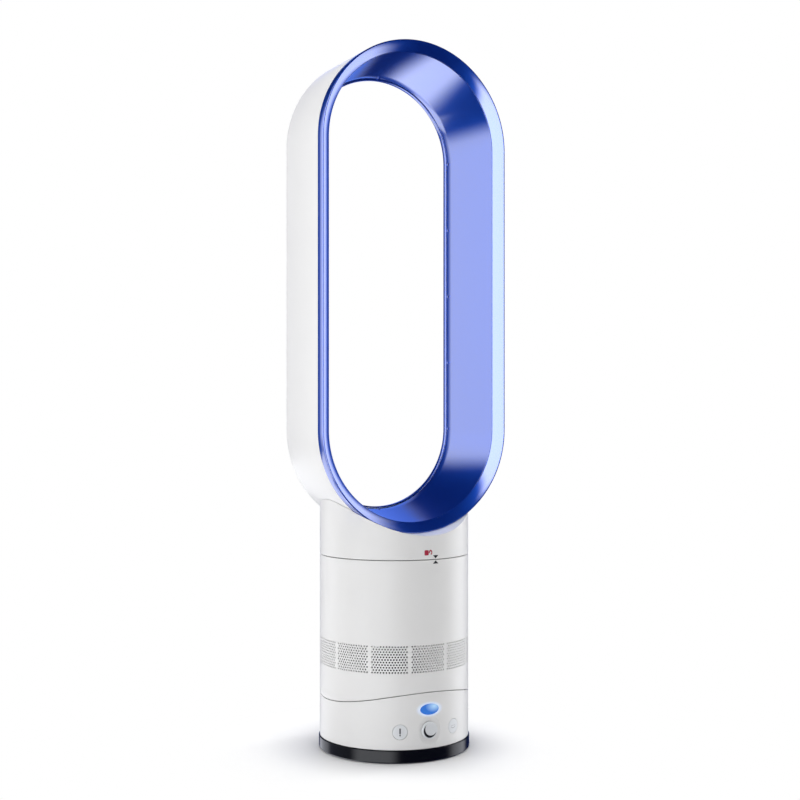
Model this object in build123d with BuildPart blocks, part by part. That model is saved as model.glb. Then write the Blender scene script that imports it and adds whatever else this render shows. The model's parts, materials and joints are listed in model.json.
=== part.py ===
from build123d import *
import os
from math import acos, cos, pi, radians, sin, sqrt, tan

os.makedirs("parts", exist_ok=True)

# Tower fan with an open loop nozzle. Millimetres, +Z up, the front faces -Y.
# The origin is the middle of the circle that the fan stands on.

# ---------------------------------------------------------------- driving dimensions
# Clearances
move_gap = 0.3  # between pieces that pass each other
seam_gap = 0.4  # shadow line between two housings
seat_gap = 0.1  # between pieces that are assembled and stay put
shaft_fit = 0.05  # radial play of a shaft in its bore

# Body tube
body_r = 74.0
body_wall = 2.4
boss_r = 4.2  # screw boss on the inside of a housing
boss_inset = 6.2  # boss centre, in from the outside of the tube
screw_r = 1.5
screw_head_r = 2.8
screw_head_h = 1.5
turntable_screw_length = 9.0
cradle_screw_length = 10.0
shoe_screw_length = 12.0
motor_screw_length = 3.2
gear_screw_grip = 1.5

# Foot
foot_overhang = 1.0  # the foot stands this far out of the tube
foot_top = 12.5
foot_wall = 3.5
foot_floor = 2.5
foot_edge = 0.6  # bevel on the outer rims
pad_stand = 0.8  # the rubber pads stand this far out of the underside
pad_r = 6.0
pad_h = 2.0
pad_count = 5
pad_inset = 13.0  # pad centre, in from the rim
spigot_r = 9.0  # hollow pivot post in the middle of the foot
spigot_bore_r = 6.0
clip_r = 12.5
clip_h = 1.6
clip_groove = 1.2
glide_ring_inset = 3.5
glide_ring_width = 6.0
glide_pad_h = 1.0
glide_pad_length = 16.0
cord_bore_r = 2.8
cord_bush_wall = 1.2
cord_bush_lip = 1.2
cord_z = 7.2

# Swing drive: a fixed gear on the foot and a pinion on the swing motor
gear_module = 1.0
gear_teeth = 48
pinion_teeth = 18
pressure_angle = 20.0
gear_backlash = 0.25
gear_h = 5.6
gear_bore_r = 16.0
gear_screw_count = 3
swing_shaft_r = 2.5
swing_motor_room = 7.1  # between the swing motor and the housing
swing_motor_gap = 2.0  # between the swing motor and the pivot clip
swing_motor_h = 15.0
swing_motor_ear_r = 4.0
swing_motor_ear_h = 1.4
swing_motor_end_r = 6.0
swing_motor_end_h = 1.5

# Turntable and lower housing
turntable_h = 2.5
hub_wall = 3.0
hub_top = 20.0
hub_low_gap = 2.5  # under the hub, above the floor of the foot
wire_hole_r = 9.0
post_r = 4.5
post_inset = 9.93
post_angle = 34.19

# Control panel: angles are measured round the tube from the front
panel_z = 29.8
button_angle = 23.0
button_r = 7.0
button_flange = 1.7
button_travel = 0.8
button_tube_wall = 1.8
button_stem = 3.2
knob_r = 8.3
knob_h = 2.5
knob_stem_r = 3.0
knob_well_r = 14.0
knob_well_depth = 3.2
mark_r = 6.9
mark_shift = 1.1
mark_depth = 0.7
display_z = 50.0
display_width = 20.0
display_height = 10.5
board_h = 1.6  # thickness of every circuit board
control_board_below = 13.2  # under the knob's middle
control_board_above = 4.0  # over the window's middle
control_post_x = 9.0
control_post_rise = 10.4
control_board_width = 24.0
control_post_r = 2.2
encoder_width = 12.0
encoder_h = 6.4
encoder_neck_r = 4.5
button_flange_h = 1.2
button_stem_r = 3.0
board_inset = 14.0  # front face of the control board, in from the tube
button_board_inset = 11.5  # front face of a button board, in from the tube
button_board_h = 20.0
switch_width = 6.2
switch_key_r = 1.7
switch_key_h = 0.8

# Tilting joint: a cylinder whose axis runs left to right through the body
tilt_low_z = 53.0  # lowest line of that cylinder
tilt_r = 217.0
tilt_plate = 4.0  # thickness of both curved plates
hook_inset = 44.0
hook_y = 7.0
hook_length = 8.0
hook_width = 8.0
hook_head = 5.0  # the head stands this far out on each side of the neck
hook_head_h = 3.0
slot_end_room = 3.4  # clears the neck's square corners in the slot's round end
tilt_angle = 10.0

# Main housing and its air intake
grille_low = 84.6
grille_high = 111.5
grille_panels = 12
grille_panel_angle = 27.0
grille_columns = 7  # upright slots in a panel
grille_slot = 2.6
grille_stagger = 2.4  # every other slot sits this much lower
collar_seam_z = 192.0
ledge_z = 113.0
ledge_h = 2.0
ledge_width = 3.5
foam_room = 2.6  # between the foam and the screw bosses
foam_h = 8.0
foam_z = 72.0
foam_post_inset = 4.36
foam_post_angle = 42.14
driver_z = 61.0
driver_leg_x = 18.5
driver_leg_y = 16.5
driver_width = 44.0
driver_length = 40.0
foam_post_r = 3.5
foam_hole_r = 10.0

# Fan unit
seal_h = 4.0
flange_h = 2.2
duct_room = 0.7  # between the duct and the nozzle's skirt
duct_wall = 2.2
duct_top = 178.0
throat_r = 42.0
throat_z = 125.0
impeller_low = 127.0
impeller_high = 150.0
impeller_eye_r = 15.0
impeller_back_r = 43.0
impeller_blades = 11
impeller_wrap = 62.0  # degrees that a blade turns from inlet to outlet
blade_h = 1.7
blade_tip_gap = 0.7
bucket_r = 36.0
bucket_wall = 2.0
bucket_low = 152.5
bucket_seam = 178.5
cap_nose = 13.5  # the motor cap ends this far over the shaft
sleeve_h = 15.0
sleeve_wall = 2.0
vane_count = 9
vane_wrap = 34.0
vane_low = 156.0
vane_high = 175.0
shaft_r = 4.0
shaft_low = 118.0
shaft_top = 187.5
bearing_r = 11.0
bearing_h = 7.0
stator_yoke_r = 28.5
stator_bore_r = 18.6
stator_teeth = 6
stator_h = 15.0
rotor_air_gap = 0.5
nut_r = 7.0
nut_h = 5.0
hub_nose = 3.0  # the hub reaches this far below the blades
spinner_r = 12.0
bearing_lip = 2.4
seal_height = 10.0
end_round = 5.0

# Bayonet between main housing and nozzle
lug_count = 4
lug_angle = 10.0
lug_h = 3.0
lug_depth = 2.6
bayonet_ring_wall = 2.3
skirt_wall = 3.4
skirt_depth = 13.0
collar_web = 2.4

# Loop nozzle: a section carried round two half circles and two straights
loop_r = 100.0
loop_bottom_z = 215.0
loop_straight = 277.5
loop_wall = 2.0
loop_front_y = -49.7
loop_back_y = 41.5
loop_back_round = 3.5
bevel_width = 10.3
bevel_depth = 9.6
bevel_wall = 2.3
band_back_y = -37.0
throat_lip_r = 79.0
lip_wall = 1.6
lip_front_y = 31.5
slot_width = 1.2
guide_nose_y = 36.0
guide_bend_y = 28.0
spacer_count = 5
inlet_half_width = 48.0
inlet_front_y = -31.0
inlet_back_y = 33.0

# ---------------------------------------------------------------- derived stations
tube_bore_r = body_r - body_wall
tilt_axis_z = tilt_low_z + tilt_r
foot_r = body_r + foot_overhang
loop_low_z = loop_bottom_z + loop_r
loop_high_z = loop_low_z + loop_straight
inner_r = tube_bore_r - seat_gap
foot_bore_r = foot_r - foot_wall
pad_circle_r = foot_r - pad_inset
glide_ring_r = foot_bore_r - glide_ring_inset
foot_floor_z = pad_stand + foot_floor
turntable_z = foot_top - 1.6
turntable_top = turntable_z + turntable_h
lower_z = foot_top + seam_gap
boss_circle_r = body_r - boss_inset
post_x = (body_r - post_inset) * cos(radians(post_angle))
post_y = (body_r - post_inset) * sin(radians(post_angle))
hook_x = body_r - hook_inset
foam_r = boss_circle_r - boss_r - foam_room
foam_post_x = (foam_r - foam_post_inset) * cos(radians(foam_post_angle))
foam_post_y = (foam_r - foam_post_inset) * sin(radians(foam_post_angle))
board_y = board_inset - body_r
button_board_r = body_r - button_board_inset
control_board_low = panel_z - control_board_below
control_board_high = display_z + control_board_above
drive_distance = gear_module * (gear_teeth + pinion_teeth) / 2
gear_screw_r = (gear_bore_r + gear_module * gear_teeth / 2) / 2
lower_tilt_r = tilt_r + seam_gap / 2
upper_tilt_r = tilt_r - seam_gap / 2
under_cradle_r = lower_tilt_r + tilt_plate
hook_top_r = under_cradle_r + 0.5
hook_foot_r = hook_top_r + hook_head_h
shoe_top_r = upper_tilt_r - tilt_plate
slot_reach = hook_y + hook_length / 2 + hook_foot_r * sin(radians(tilt_angle)) + slot_end_room
housing_top = collar_seam_z - seam_gap / 2
collar_z = collar_seam_z + seam_gap / 2
flange_z = ledge_z + ledge_h + seal_h
guide_r = throat_lip_r + lip_wall + slot_width
skirt_r = inner_r - bayonet_ring_wall - lug_depth - move_gap
skirt_bore_r = skirt_r - skirt_wall
duct_r = skirt_bore_r - duct_room - duct_wall  # inside, round impeller and diffuser
cap_top = shaft_top + cap_nose
skirt_z = collar_z - skirt_depth
upper_lug_z = housing_top - 2.0 - lug_h
lower_lug_z = upper_lug_z - seam_gap - lug_h


def save(builder, name):
    """Label a finished piece and write it under its own name."""
    builder.part.label = name
    export_step(builder.part, f"parts/{name}.step")


def panel_plane(angle, radius, height):
    """A plane that faces out of the tube, at an angle round it from the front."""
    turn = radians(angle)
    return Plane(
        origin=(radius * sin(turn), -radius * cos(turn), height),
        x_dir=(cos(turn), sin(turn), 0),
        z_dir=(sin(turn), -cos(turn), 0),
    )


def gear_outline(teeth, tip_share=0.9, root_share=1.25):
    """Corner points of an involute gear whose first tooth points along +X."""
    pitch_r = gear_module * teeth / 2
    base_r = pitch_r * cos(radians(pressure_angle))
    root_r = pitch_r - root_share * gear_module
    tip_r = pitch_r + tip_share * gear_module

    def flank(radius):
        roll = acos(min(1.0, base_r / radius))
        return tan(roll) - roll

    half_tooth = pi / (2 * teeth) - gear_backlash / (4 * pitch_r)
    levels = [root_r, pitch_r, tip_r]
    spread = [half_tooth + flank(pitch_r) - flank(max(level, base_r)) for level in levels]
    points = []
    for tooth in range(teeth):
        middle = 2 * pi * tooth / teeth
        for level, half in zip(levels, spread):
            points.append((level * cos(middle - half), level * sin(middle - half)))
        for level, half in zip(reversed(levels), reversed(spread)):
            points.append((level * cos(middle + half), level * sin(middle + half)))
    return points


# ================================================================ FOOT
# Black dish with a raised pivot post. Everything above it turns on this post.
with BuildPart() as foot_base:
    with BuildSketch(Plane.XY.offset(pad_stand)):
        Circle(foot_r)
    extrude(amount=foot_top - pad_stand)
    outer_rims = foot_base.edges().filter_by(GeomType.CIRCLE)
    chamfer(outer_rims, length=foot_edge)
    with BuildSketch(Plane.XY.offset(foot_floor_z)):
        Circle(foot_bore_r)
        Circle(spigot_r, mode=Mode.SUBTRACT)
    extrude(amount=foot_top, mode=Mode.SUBTRACT)
    with BuildSketch(Plane.XY.offset(foot_floor_z)):
        Circle(spigot_r)
    extrude(amount=hub_top + move_gap - foot_floor_z)
    with BuildSketch(Plane.XY.offset(hub_top + move_gap)):
        Circle(spigot_r - clip_groove)
    extrude(amount=clip_h)
    with BuildSketch(Plane.XY.offset(hub_top + move_gap + clip_h)):
        Circle(spigot_r - move_gap)
    extrude(amount=clip_groove)
    with BuildSketch(Plane.XY):
        Circle(spigot_bore_r)
    extrude(amount=2 * hub_top, mode=Mode.SUBTRACT)
    with BuildSketch(Plane.XY.offset(pad_stand)):
        with PolarLocations(pad_circle_r, pad_count, start_angle=90):
            Circle(pad_r)
    extrude(amount=pad_h - pad_stand, mode=Mode.SUBTRACT)
    # Way in for the mains lead, at the back
    with BuildSketch(panel_plane(180, foot_bore_r - 2, cord_z)):
        Circle(cord_bore_r + cord_bush_wall)
    extrude(amount=foot_wall + 4, mode=Mode.SUBTRACT)
    with BuildSketch(panel_plane(180, foot_r - cord_bush_lip - foot_edge, cord_z)):
        Circle(cord_bore_r + 2 * cord_bush_wall)
    extrude(amount=foot_wall, mode=Mode.SUBTRACT)
    # Holes for the gear's screws
    with BuildSketch(Plane.XY.offset(foot_floor_z)):
        with PolarLocations(gear_screw_r, gear_screw_count):
            Circle(screw_r)
    extrude(amount=-foot_floor + pad_stand, mode=Mode.SUBTRACT)
save(foot_base, "foot_base")

with BuildPart() as foot_pads:
    with BuildSketch():
        with PolarLocations(pad_circle_r, pad_count, start_angle=90):
            Circle(pad_r)
    extrude(amount=pad_h)
save(foot_pads, "foot_pads")

with BuildPart() as cord_bush:
    with BuildSketch(panel_plane(180, foot_bore_r, cord_z)):
        Circle(cord_bore_r + cord_bush_wall)
    extrude(amount=foot_wall - cord_bush_lip - foot_edge)
    with BuildSketch(panel_plane(180, foot_r - cord_bush_lip - foot_edge, cord_z)):
        Circle(cord_bore_r + 2 * cord_bush_wall)
    extrude(amount=cord_bush_lip)
    with BuildSketch(panel_plane(180, foot_bore_r - 1, cord_z)):
        Circle(cord_bore_r)
    extrude(amount=foot_wall + 2, mode=Mode.SUBTRACT)
save(cord_bush, "cord_bush")

# Low-friction ring that the turntable glides on, with a raised pad at each sixth
with BuildPart() as glide_ring:
    with BuildSketch(Plane.XY.offset(foot_floor_z)):
        Circle(glide_ring_r)
        Circle(glide_ring_r - glide_ring_width, mode=Mode.SUBTRACT)
    extrude(amount=turntable_z - move_gap - glide_pad_h - foot_floor_z)
    with BuildSketch(Plane.XY.offset(turntable_z - move_gap - glide_pad_h)):
        with PolarLocations(glide_ring_r - glide_ring_width / 2, 6, start_angle=30):
            SlotOverall(glide_pad_length, glide_ring_width - 1.0, rotation=90)
    extrude(amount=glide_pad_h)
save(glide_ring, "glide_ring")

with BuildPart() as swing_gear:
    with BuildSketch(Plane.XY.offset(foot_floor_z)):
        with BuildLine():
            Polyline(*gear_outline(gear_teeth), close=True)
        make_face()
        Circle(gear_bore_r, mode=Mode.SUBTRACT)
        with PolarLocations(gear_screw_r, gear_screw_count):
            Circle(screw_r + seat_gap, mode=Mode.SUBTRACT)
    extrude(amount=gear_h)
save(swing_gear, "swing_gear")


def screws(name, places, top, length, downward=True):
    """A group of pan-head screws: places are (x, y), top is where each head sits."""
    away = 1 if downward else -1
    with BuildPart() as group:
        with BuildSketch(Plane.XY.offset(top)):
            with Locations(*places):
                Circle(screw_head_r)
        extrude(amount=away * screw_head_h)
        with BuildSketch(Plane.XY.offset(top)):
            with Locations(*places):
                Circle(screw_r - seat_gap)
        extrude(amount=-away * length)
    save(group, name)
    return group


def ring_places(radius, count, start):
    """Centres of a ring of equal features."""
    steps = [radians(start + 360 * index / count) for index in range(count)]
    return [(radius * cos(step), radius * sin(step)) for step in steps]


gear_screw_places = ring_places(gear_screw_r, gear_screw_count, 0)
screws("gear_screws", gear_screw_places, foot_floor_z + gear_h, gear_h + gear_screw_grip)

# Spring clip in the groove of the pivot post
with BuildPart() as pivot_clip:
    with BuildSketch(Plane.XY.offset(hub_top + move_gap)):
        Circle(clip_r)
        Circle(spigot_r - clip_groove + 0.02, mode=Mode.SUBTRACT)
        with Locations((0, -clip_r)):
            Rectangle(clip_r * 0.9, 2 * clip_groove + clip_r * 0.7, mode=Mode.SUBTRACT)
    extrude(amount=clip_h - 0.05)
save(pivot_clip, "pivot_clip")

# ================================================================ LOWER BODY
post_places = [(x, y) for x in (-post_x, post_x) for y in (-post_y, post_y)]
boss_places = ring_places(boss_circle_r, 4, 45)
swing_motor_r = (tube_bore_r - swing_motor_room - clip_r - swing_motor_gap) / 2
motor_y = clip_r + swing_motor_gap + swing_motor_r
ear_x = swing_motor_r + swing_motor_ear_r - 1.0
ear_places = [(-ear_x, motor_y), (ear_x, motor_y)]
supply_board_x = (18.0, 43.0)
supply_board_y = (-28.0, 4.0)
board_edge = 4.0
supply_post_r = 2.5
supply_post_h = 3.0
transformer_width = 18.0
transformer_length = 15.0
transformer_h = 14.0
capacitor_h = 12.0
post_bore_z = 20.0

with BuildPart() as turntable:
    with BuildSketch(Plane.XY.offset(turntable_z)):
        Circle(foot_bore_r - move_gap)
    extrude(amount=turntable_h)
    with BuildSketch(Plane.XY.offset(foot_floor_z + hub_low_gap)):
        Circle(spigot_r + hub_wall)
    extrude(amount=hub_top - foot_floor_z - hub_low_gap)
    with BuildSketch(Plane.XY.offset(turntable_top)):
        with Locations(*post_places):
            Circle(post_r)
    extrude(amount=60)
    with BuildSketch(Plane.YZ):
        with Locations((0, tilt_axis_z)):
            Circle(under_cradle_r)
    extrude(amount=body_r, both=True, mode=Mode.SUBTRACT)
    with BuildSketch(Plane.XY.offset(turntable_top)):
        with Locations(*[(x, y) for x in supply_board_x for y in supply_board_y]):
            Circle(supply_post_r)
    extrude(amount=supply_post_h)
    with BuildSketch():
        Circle(spigot_r + shaft_fit)
        with Locations((0, drive_distance)):
            Circle(swing_shaft_r + 2.0)
        with Locations(*boss_places):
            Circle(screw_r + seat_gap)
    extrude(amount=2 * hub_top, mode=Mode.SUBTRACT)
    with BuildSketch(Plane.XY.offset(turntable_z)):
        with Locations(*boss_places):
            Circle(screw_head_r + seat_gap)
    extrude(amount=screw_head_h, mode=Mode.SUBTRACT)
    with BuildSketch(Plane.XY.offset(turntable_top)):
        with Locations(*ear_places):
            Circle(screw_r)
    extrude(amount=-turntable_h + 0.6, mode=Mode.SUBTRACT)
    with BuildSketch(Plane.XY.offset(turntable_top + post_bore_z)):
        with Locations(*post_places):
            Circle(screw_r)
    extrude(amount=60, mode=Mode.SUBTRACT)
save(turntable, "turntable")

screws(
    "turntable_screws",
    boss_places,
    turntable_z + screw_head_h,
    turntable_screw_length,
    downward=False,
)

# Shell with the control panel: a dished well for the knob, an oval window above it
# and a round guide tube behind each button
well_floor_y = -(body_r - knob_well_depth)
well_ball_r = (knob_well_r**2 + knob_well_depth**2) / (2 * knob_well_depth)
well_ball_y = well_floor_y - well_ball_r
well_back_y = well_floor_y + body_wall
guide_bore_r = button_r + button_flange + move_gap
guide_seat_r = tube_bore_r - 0.4
control_posts = [
    (x, panel_z + rise)
    for x in (-control_post_x, control_post_x)
    for rise in (-control_post_rise, control_post_rise)
]
button_angles = (-button_angle, button_angle)

with BuildPart() as lower_housing:
    with BuildSketch(Plane.XY.offset(lower_z)):
        Circle(body_r)
        Circle(tube_bore_r, mode=Mode.SUBTRACT)
    extrude(amount=60)
    with BuildSketch(Plane.XY.offset(turntable_top)):
        with Locations(*boss_places):
            Circle(boss_r)
    extrude(amount=16)
    with BuildSketch(Plane.XZ.offset(-board_y)):
        with Locations(*control_posts):
            Circle(control_post_r)
    extrude(amount=tube_bore_r + board_y + 0.3)
    with BuildSketch(Plane.XZ.offset(-well_back_y)):
        with Locations((0, panel_z)):
            Circle(knob_well_r - 2.5)
    extrude(amount=knob_well_depth + 0.4)
    with BuildSketch(*[panel_plane(turn, button_board_r, panel_z) for turn in button_angles]):
        Circle(guide_bore_r + button_tube_wall)
    extrude(amount=tube_bore_r + 0.6 - button_board_r)
    with BuildSketch(Plane.XY.offset(turntable_top)):
        with Locations(*boss_places):
            Circle(screw_r)
    extrude(amount=9, mode=Mode.SUBTRACT)
    with BuildSketch(*[panel_plane(turn, button_board_r, panel_z) for turn in button_angles]):
        Circle(guide_bore_r)
    extrude(amount=guide_seat_r - button_board_r, mode=Mode.SUBTRACT)
    with BuildSketch(*[panel_plane(turn, button_board_r, panel_z) for turn in button_angles]):
        Circle(button_r + move_gap)
    extrude(amount=foot_r - button_board_r, mode=Mode.SUBTRACT)
    with Locations((0, well_ball_y, panel_z)):
        Sphere(well_ball_r, mode=Mode.SUBTRACT)
    with BuildSketch(Plane.XZ.offset(-board_y)):
        with Locations((0, panel_z)):
            Circle(knob_stem_r + move_gap)
        with Locations((0, display_z)):
            Ellipse(display_width / 2 + seat_gap, display_height / 2 + seat_gap)
    extrude(amount=foot_r, mode=Mode.SUBTRACT)
    with BuildSketch(Plane.YZ):
        with Locations((0, tilt_axis_z)):
            Circle(lower_tilt_r)
    extrude(amount=2 * body_r, both=True, mode=Mode.SUBTRACT)
save(lower_housing, "lower_housing")


def tilt_ring(outer, inner):
    """A round disc that fits the body tube, bent to the tilting joint's cylinder."""
    with BuildPart() as disc:
        with BuildSketch():
            Circle(inner_r)
        extrude(amount=tilt_axis_z / 2)
        with BuildSketch(Plane.YZ):
            with Locations((0, tilt_axis_z)):
                Circle(outer)
                Circle(inner, mode=Mode.SUBTRACT)
        extrude(amount=2 * body_r, both=True, mode=Mode.INTERSECT)
    return disc.part


def bowl_z(radius, y):
    """Height of the tilting joint's cylinder of this radius at a distance from the middle."""
    return tilt_axis_z - sqrt(radius**2 - y**2)


# Curved track plate on top of the lower body, with two slots for the hooks
cradle_head_z = bowl_z(lower_tilt_r, post_y - screw_head_r) - move_gap - screw_head_h
with BuildPart() as tilt_cradle:
    add(tilt_ring(under_cradle_r, lower_tilt_r))
    with BuildSketch():
        with Locations((-hook_x, 0), (hook_x, 0)):
            SlotOverall(2 * slot_reach, hook_width + 2 * move_gap + 0.4, rotation=90)
        Circle(wire_hole_r)
        with Locations(*post_places):
            Circle(screw_r + seat_gap)
    extrude(amount=tilt_axis_z / 2, mode=Mode.SUBTRACT)
    with BuildSketch(Plane.XY.offset(cradle_head_z)):
        with Locations(*post_places):
            Circle(screw_head_r + seat_gap)
    extrude(amount=10, mode=Mode.SUBTRACT)
save(tilt_cradle, "tilt_cradle")
screws("cradle_screws", post_places, cradle_head_z, cradle_screw_length)

with BuildPart() as swing_motor:
    with BuildSketch(Plane.XY.offset(turntable_top)):
        with Locations((0, motor_y)):
            Circle(swing_motor_r)
    extrude(amount=swing_motor_h)
    chamfer(swing_motor.edges().group_by(Axis.Z)[-1], length=1.2)
    with BuildSketch(Plane.XY.offset(turntable_top)):
        with Locations(*ear_places):
            Circle(swing_motor_ear_r)
        with Locations((0, motor_y)):
            Rectangle(2 * ear_x, 2 * swing_motor_ear_r)
        with Locations(*ear_places):
            Circle(screw_r + seat_gap, mode=Mode.SUBTRACT)
    extrude(amount=swing_motor_ear_h)
    with BuildSketch(Plane.XY.offset(turntable_top + swing_motor_h)):
        with Locations((0, motor_y)):
            Circle(swing_motor_end_r)
    extrude(amount=swing_motor_end_h)
    with BuildSketch(Plane.XY.offset(turntable_top)):
        with Locations((0, drive_distance)):
            Circle(swing_shaft_r + shaft_fit)
    extrude(amount=swing_motor_h - 3, mode=Mode.SUBTRACT)
save(swing_motor, "swing_motor")
screws("swing_motor_screws", ear_places, turntable_top + swing_motor_ear_h, motor_screw_length)

pinion_z = foot_floor_z + 0.7
with BuildPart() as swing_pinion:
    with BuildSketch(Plane(origin=(0, drive_distance, pinion_z))):
        with BuildLine():
            Polyline(*gear_outline(pinion_teeth), close=True)
        make_face()
    extrude(amount=gear_h - 0.4)
    with BuildSketch(Plane(origin=(0, drive_distance, pinion_z))):
        Circle(swing_shaft_r)
    extrude(amount=turntable_top + swing_motor_h - 4 - pinion_z)
save(swing_pinion, "swing_pinion")

# Mains supply and driver board on four short posts of the turntable
supply_width = supply_board_x[1] - supply_board_x[0] + 2 * board_edge
supply_length = supply_board_y[1] - supply_board_y[0] + 2 * board_edge
supply_middle = (sum(supply_board_x) / 2, sum(supply_board_y) / 2)
supply_z = turntable_top + supply_post_h
with BuildPart() as supply_board:
    with BuildSketch(Plane.XY.offset(supply_z)):
        with Locations(supply_middle):
            RectangleRounded(supply_width, supply_length, 2.0)
    extrude(amount=board_h)
    with BuildSketch(Plane.XY.offset(supply_z + board_h)):
        with Locations((supply_middle[0] - 5, supply_middle[1] - 8)):
            Rectangle(transformer_width, transformer_length)
    extrude(amount=transformer_h)
    with BuildSketch(Plane.XY.offset(supply_z + board_h)):
        with Locations((supply_middle[0] + 10, supply_middle[1] - 6)):
            Circle(5.0)
        with Locations((supply_middle[0] + 10, supply_middle[1] + 7)):
            Circle(4.0)
    extrude(amount=capacitor_h)
    with BuildSketch(Plane.XY.offset(supply_z + board_h)):
        with Locations((supply_middle[0] - 5, supply_middle[1] + 10)):
            Rectangle(16, 8)
    extrude(amount=7)
save(supply_board, "supply_board")

# Board behind the control panel, with the lamp block behind the window
with BuildPart() as control_board:
    with BuildSketch(Plane.XZ.offset(-board_y)):
        with Locations((0, (control_board_low + control_board_high) / 2)):
            Rectangle(control_board_width, control_board_high - control_board_low)
    extrude(amount=-board_h)
    with BuildSketch(Plane.XZ.offset(-board_y)):
        with Locations((0, display_z)):
            Rectangle(13.0, 5.0)
    extrude(amount=4.0)
save(control_board, "control_board")

with BuildPart() as knob_encoder:
    with BuildSketch(Plane.XZ.offset(-board_y)):
        with Locations((0, panel_z)):
            Rectangle(encoder_width, encoder_width)
    extrude(amount=encoder_h)
    with BuildSketch(Plane.XZ.offset(-board_y + encoder_h)):
        with Locations((0, panel_z)):
            Circle(encoder_neck_r)
    extrude(amount=-well_back_y + board_y - encoder_h - move_gap)
    with BuildSketch(Plane.XZ.offset(-board_y + 1.0)):
        with Locations((0, panel_z)):
            Circle(knob_stem_r + shaft_fit)
    extrude(amount=20, mode=Mode.SUBTRACT)
save(knob_encoder, "knob_encoder")

# Knob: its back clears the dished well, its face stands just proud of the panel
knob_back_y = well_ball_y + sqrt(well_ball_r**2 - knob_r**2) - move_gap
knob_face_y = knob_back_y - knob_h


def crescent_sketch(trim):
    """Finger mark at the knob's lower left: the space between two circles."""
    with BuildSketch(Plane.XZ.offset(-knob_face_y - mark_depth)) as crescent:
        with Locations((0, panel_z)):
            Circle(mark_r - trim)
        with Locations((mark_shift, panel_z + 1.4 * mark_shift)):
            Circle(mark_r - 0.5 + trim, mode=Mode.SUBTRACT)
    return crescent.sketch


with BuildPart() as speed_knob:
    with BuildSketch(Plane.XZ.offset(-knob_back_y)):
        with Locations((0, panel_z)):
            Circle(knob_r)
    extrude(amount=knob_h)
    fillet(speed_knob.edges().group_by(Axis.Y)[0], radius=0.8)
    with BuildSketch(Plane.XZ.offset(-knob_back_y)):
        with Locations((0, panel_z)):
            Circle(knob_stem_r)
    extrude(amount=knob_back_y - board_y + 2.0)
    extrude(crescent_sketch(0), amount=mark_depth, mode=Mode.SUBTRACT)
save(speed_knob, "speed_knob")

with BuildPart() as knob_mark:
    extrude(crescent_sketch(seat_gap / 2), amount=mark_depth - seat_gap)
save(knob_mark, "knob_mark")


def tube_skin(outer, inner):
    """The part of a piece that lies between two radii of the body tube."""
    with BuildSketch(mode=Mode.PRIVATE) as skin:
        Circle(outer)
        Circle(inner, mode=Mode.SUBTRACT)
    extrude(skin.sketch, amount=tilt_axis_z, mode=Mode.INTERSECT)


# Blue oval window, flush with the tube, with a rim behind the wall
with BuildPart() as window_face:
    with BuildSketch(Plane.XZ):
        with Locations((0, display_z)):
            Ellipse(display_width / 2, display_height / 2)
    extrude(amount=foot_r)
    tube_skin(body_r, tube_bore_r - 1)
with BuildPart() as display_lens:
    with BuildSketch(Plane.XZ):
        with Locations((0, display_z)):
            Ellipse(display_width / 2 + 2, display_height / 2 + 1.5)
    extrude(amount=foot_r)
    tube_skin(inner_r, tube_bore_r - 1.6)
    add(window_face.part)
save(display_lens, "display_lens")


# Buttons: a cap that follows the tube, a retaining flange behind the wall and a stem
def push_button(name, turn):
    with BuildPart() as button:
        with BuildSketch(panel_plane(turn, guide_seat_r - move_gap - 0.5, panel_z)):
            Circle(button_r)
        extrude(amount=foot_r - guide_seat_r)
        tube_skin(body_r, body_r / 2)
        with BuildSketch(panel_plane(turn, guide_seat_r - move_gap, panel_z)):
            Circle(button_r + button_flange)
        extrude(amount=-button_flange_h)
        with BuildSketch(panel_plane(turn, guide_seat_r - move_gap - button_flange_h, panel_z)):
            Circle(button_stem_r)
        extrude(amount=-button_stem)
    save(button, name)


push_button("power_button", -button_angle)
push_button("swing_button", button_angle)

stem_end_r = guide_seat_r - move_gap - button_flange_h - button_stem
with BuildPart() as button_boards:
    with BuildSketch(*[panel_plane(turn, button_board_r, panel_z) for turn in button_angles]):
        RectangleRounded(2 * (guide_bore_r + button_tube_wall), button_board_h, 2.0)
    extrude(amount=-board_h)
save(button_boards, "button_boards")

with BuildPart() as button_switches:
    with BuildSketch(*[panel_plane(turn, button_board_r, panel_z) for turn in button_angles]):
        Rectangle(switch_width, switch_width)
    extrude(amount=stem_end_r - button_travel - move_gap - switch_key_h - button_board_r)
    with BuildSketch(*[panel_plane(turn, button_board_r, panel_z) for turn in button_angles]):
        Circle(switch_key_r)
    extrude(amount=stem_end_r - button_travel - move_gap - button_board_r)
save(button_switches, "button_switches")

# ================================================================ MAIN BODY
# Curved shoe that slides on the cradle; the hooks reach through its slots
hook_places = [(x, y) for x in (-hook_x, hook_x) for y in (-hook_y, hook_y)]
shoe_head_z = bowl_z(upper_tilt_r, abs(boss_places[0][1]) + screw_head_r) + move_gap


def hooks(outer, inner, width):
    """Blocks at the four hook places, bent to the tilting joint's cylinder."""
    with BuildPart() as blocks:
        with BuildSketch():
            with Locations(*hook_places):
                Rectangle(width, hook_length)
        extrude(amount=tilt_axis_z / 2)
        with BuildSketch(Plane.YZ):
            with Locations((0, tilt_axis_z)):
                Circle(outer)
                Circle(inner, mode=Mode.SUBTRACT)
        extrude(amount=body_r, both=True, mode=Mode.INTERSECT)
    return blocks.part


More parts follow.
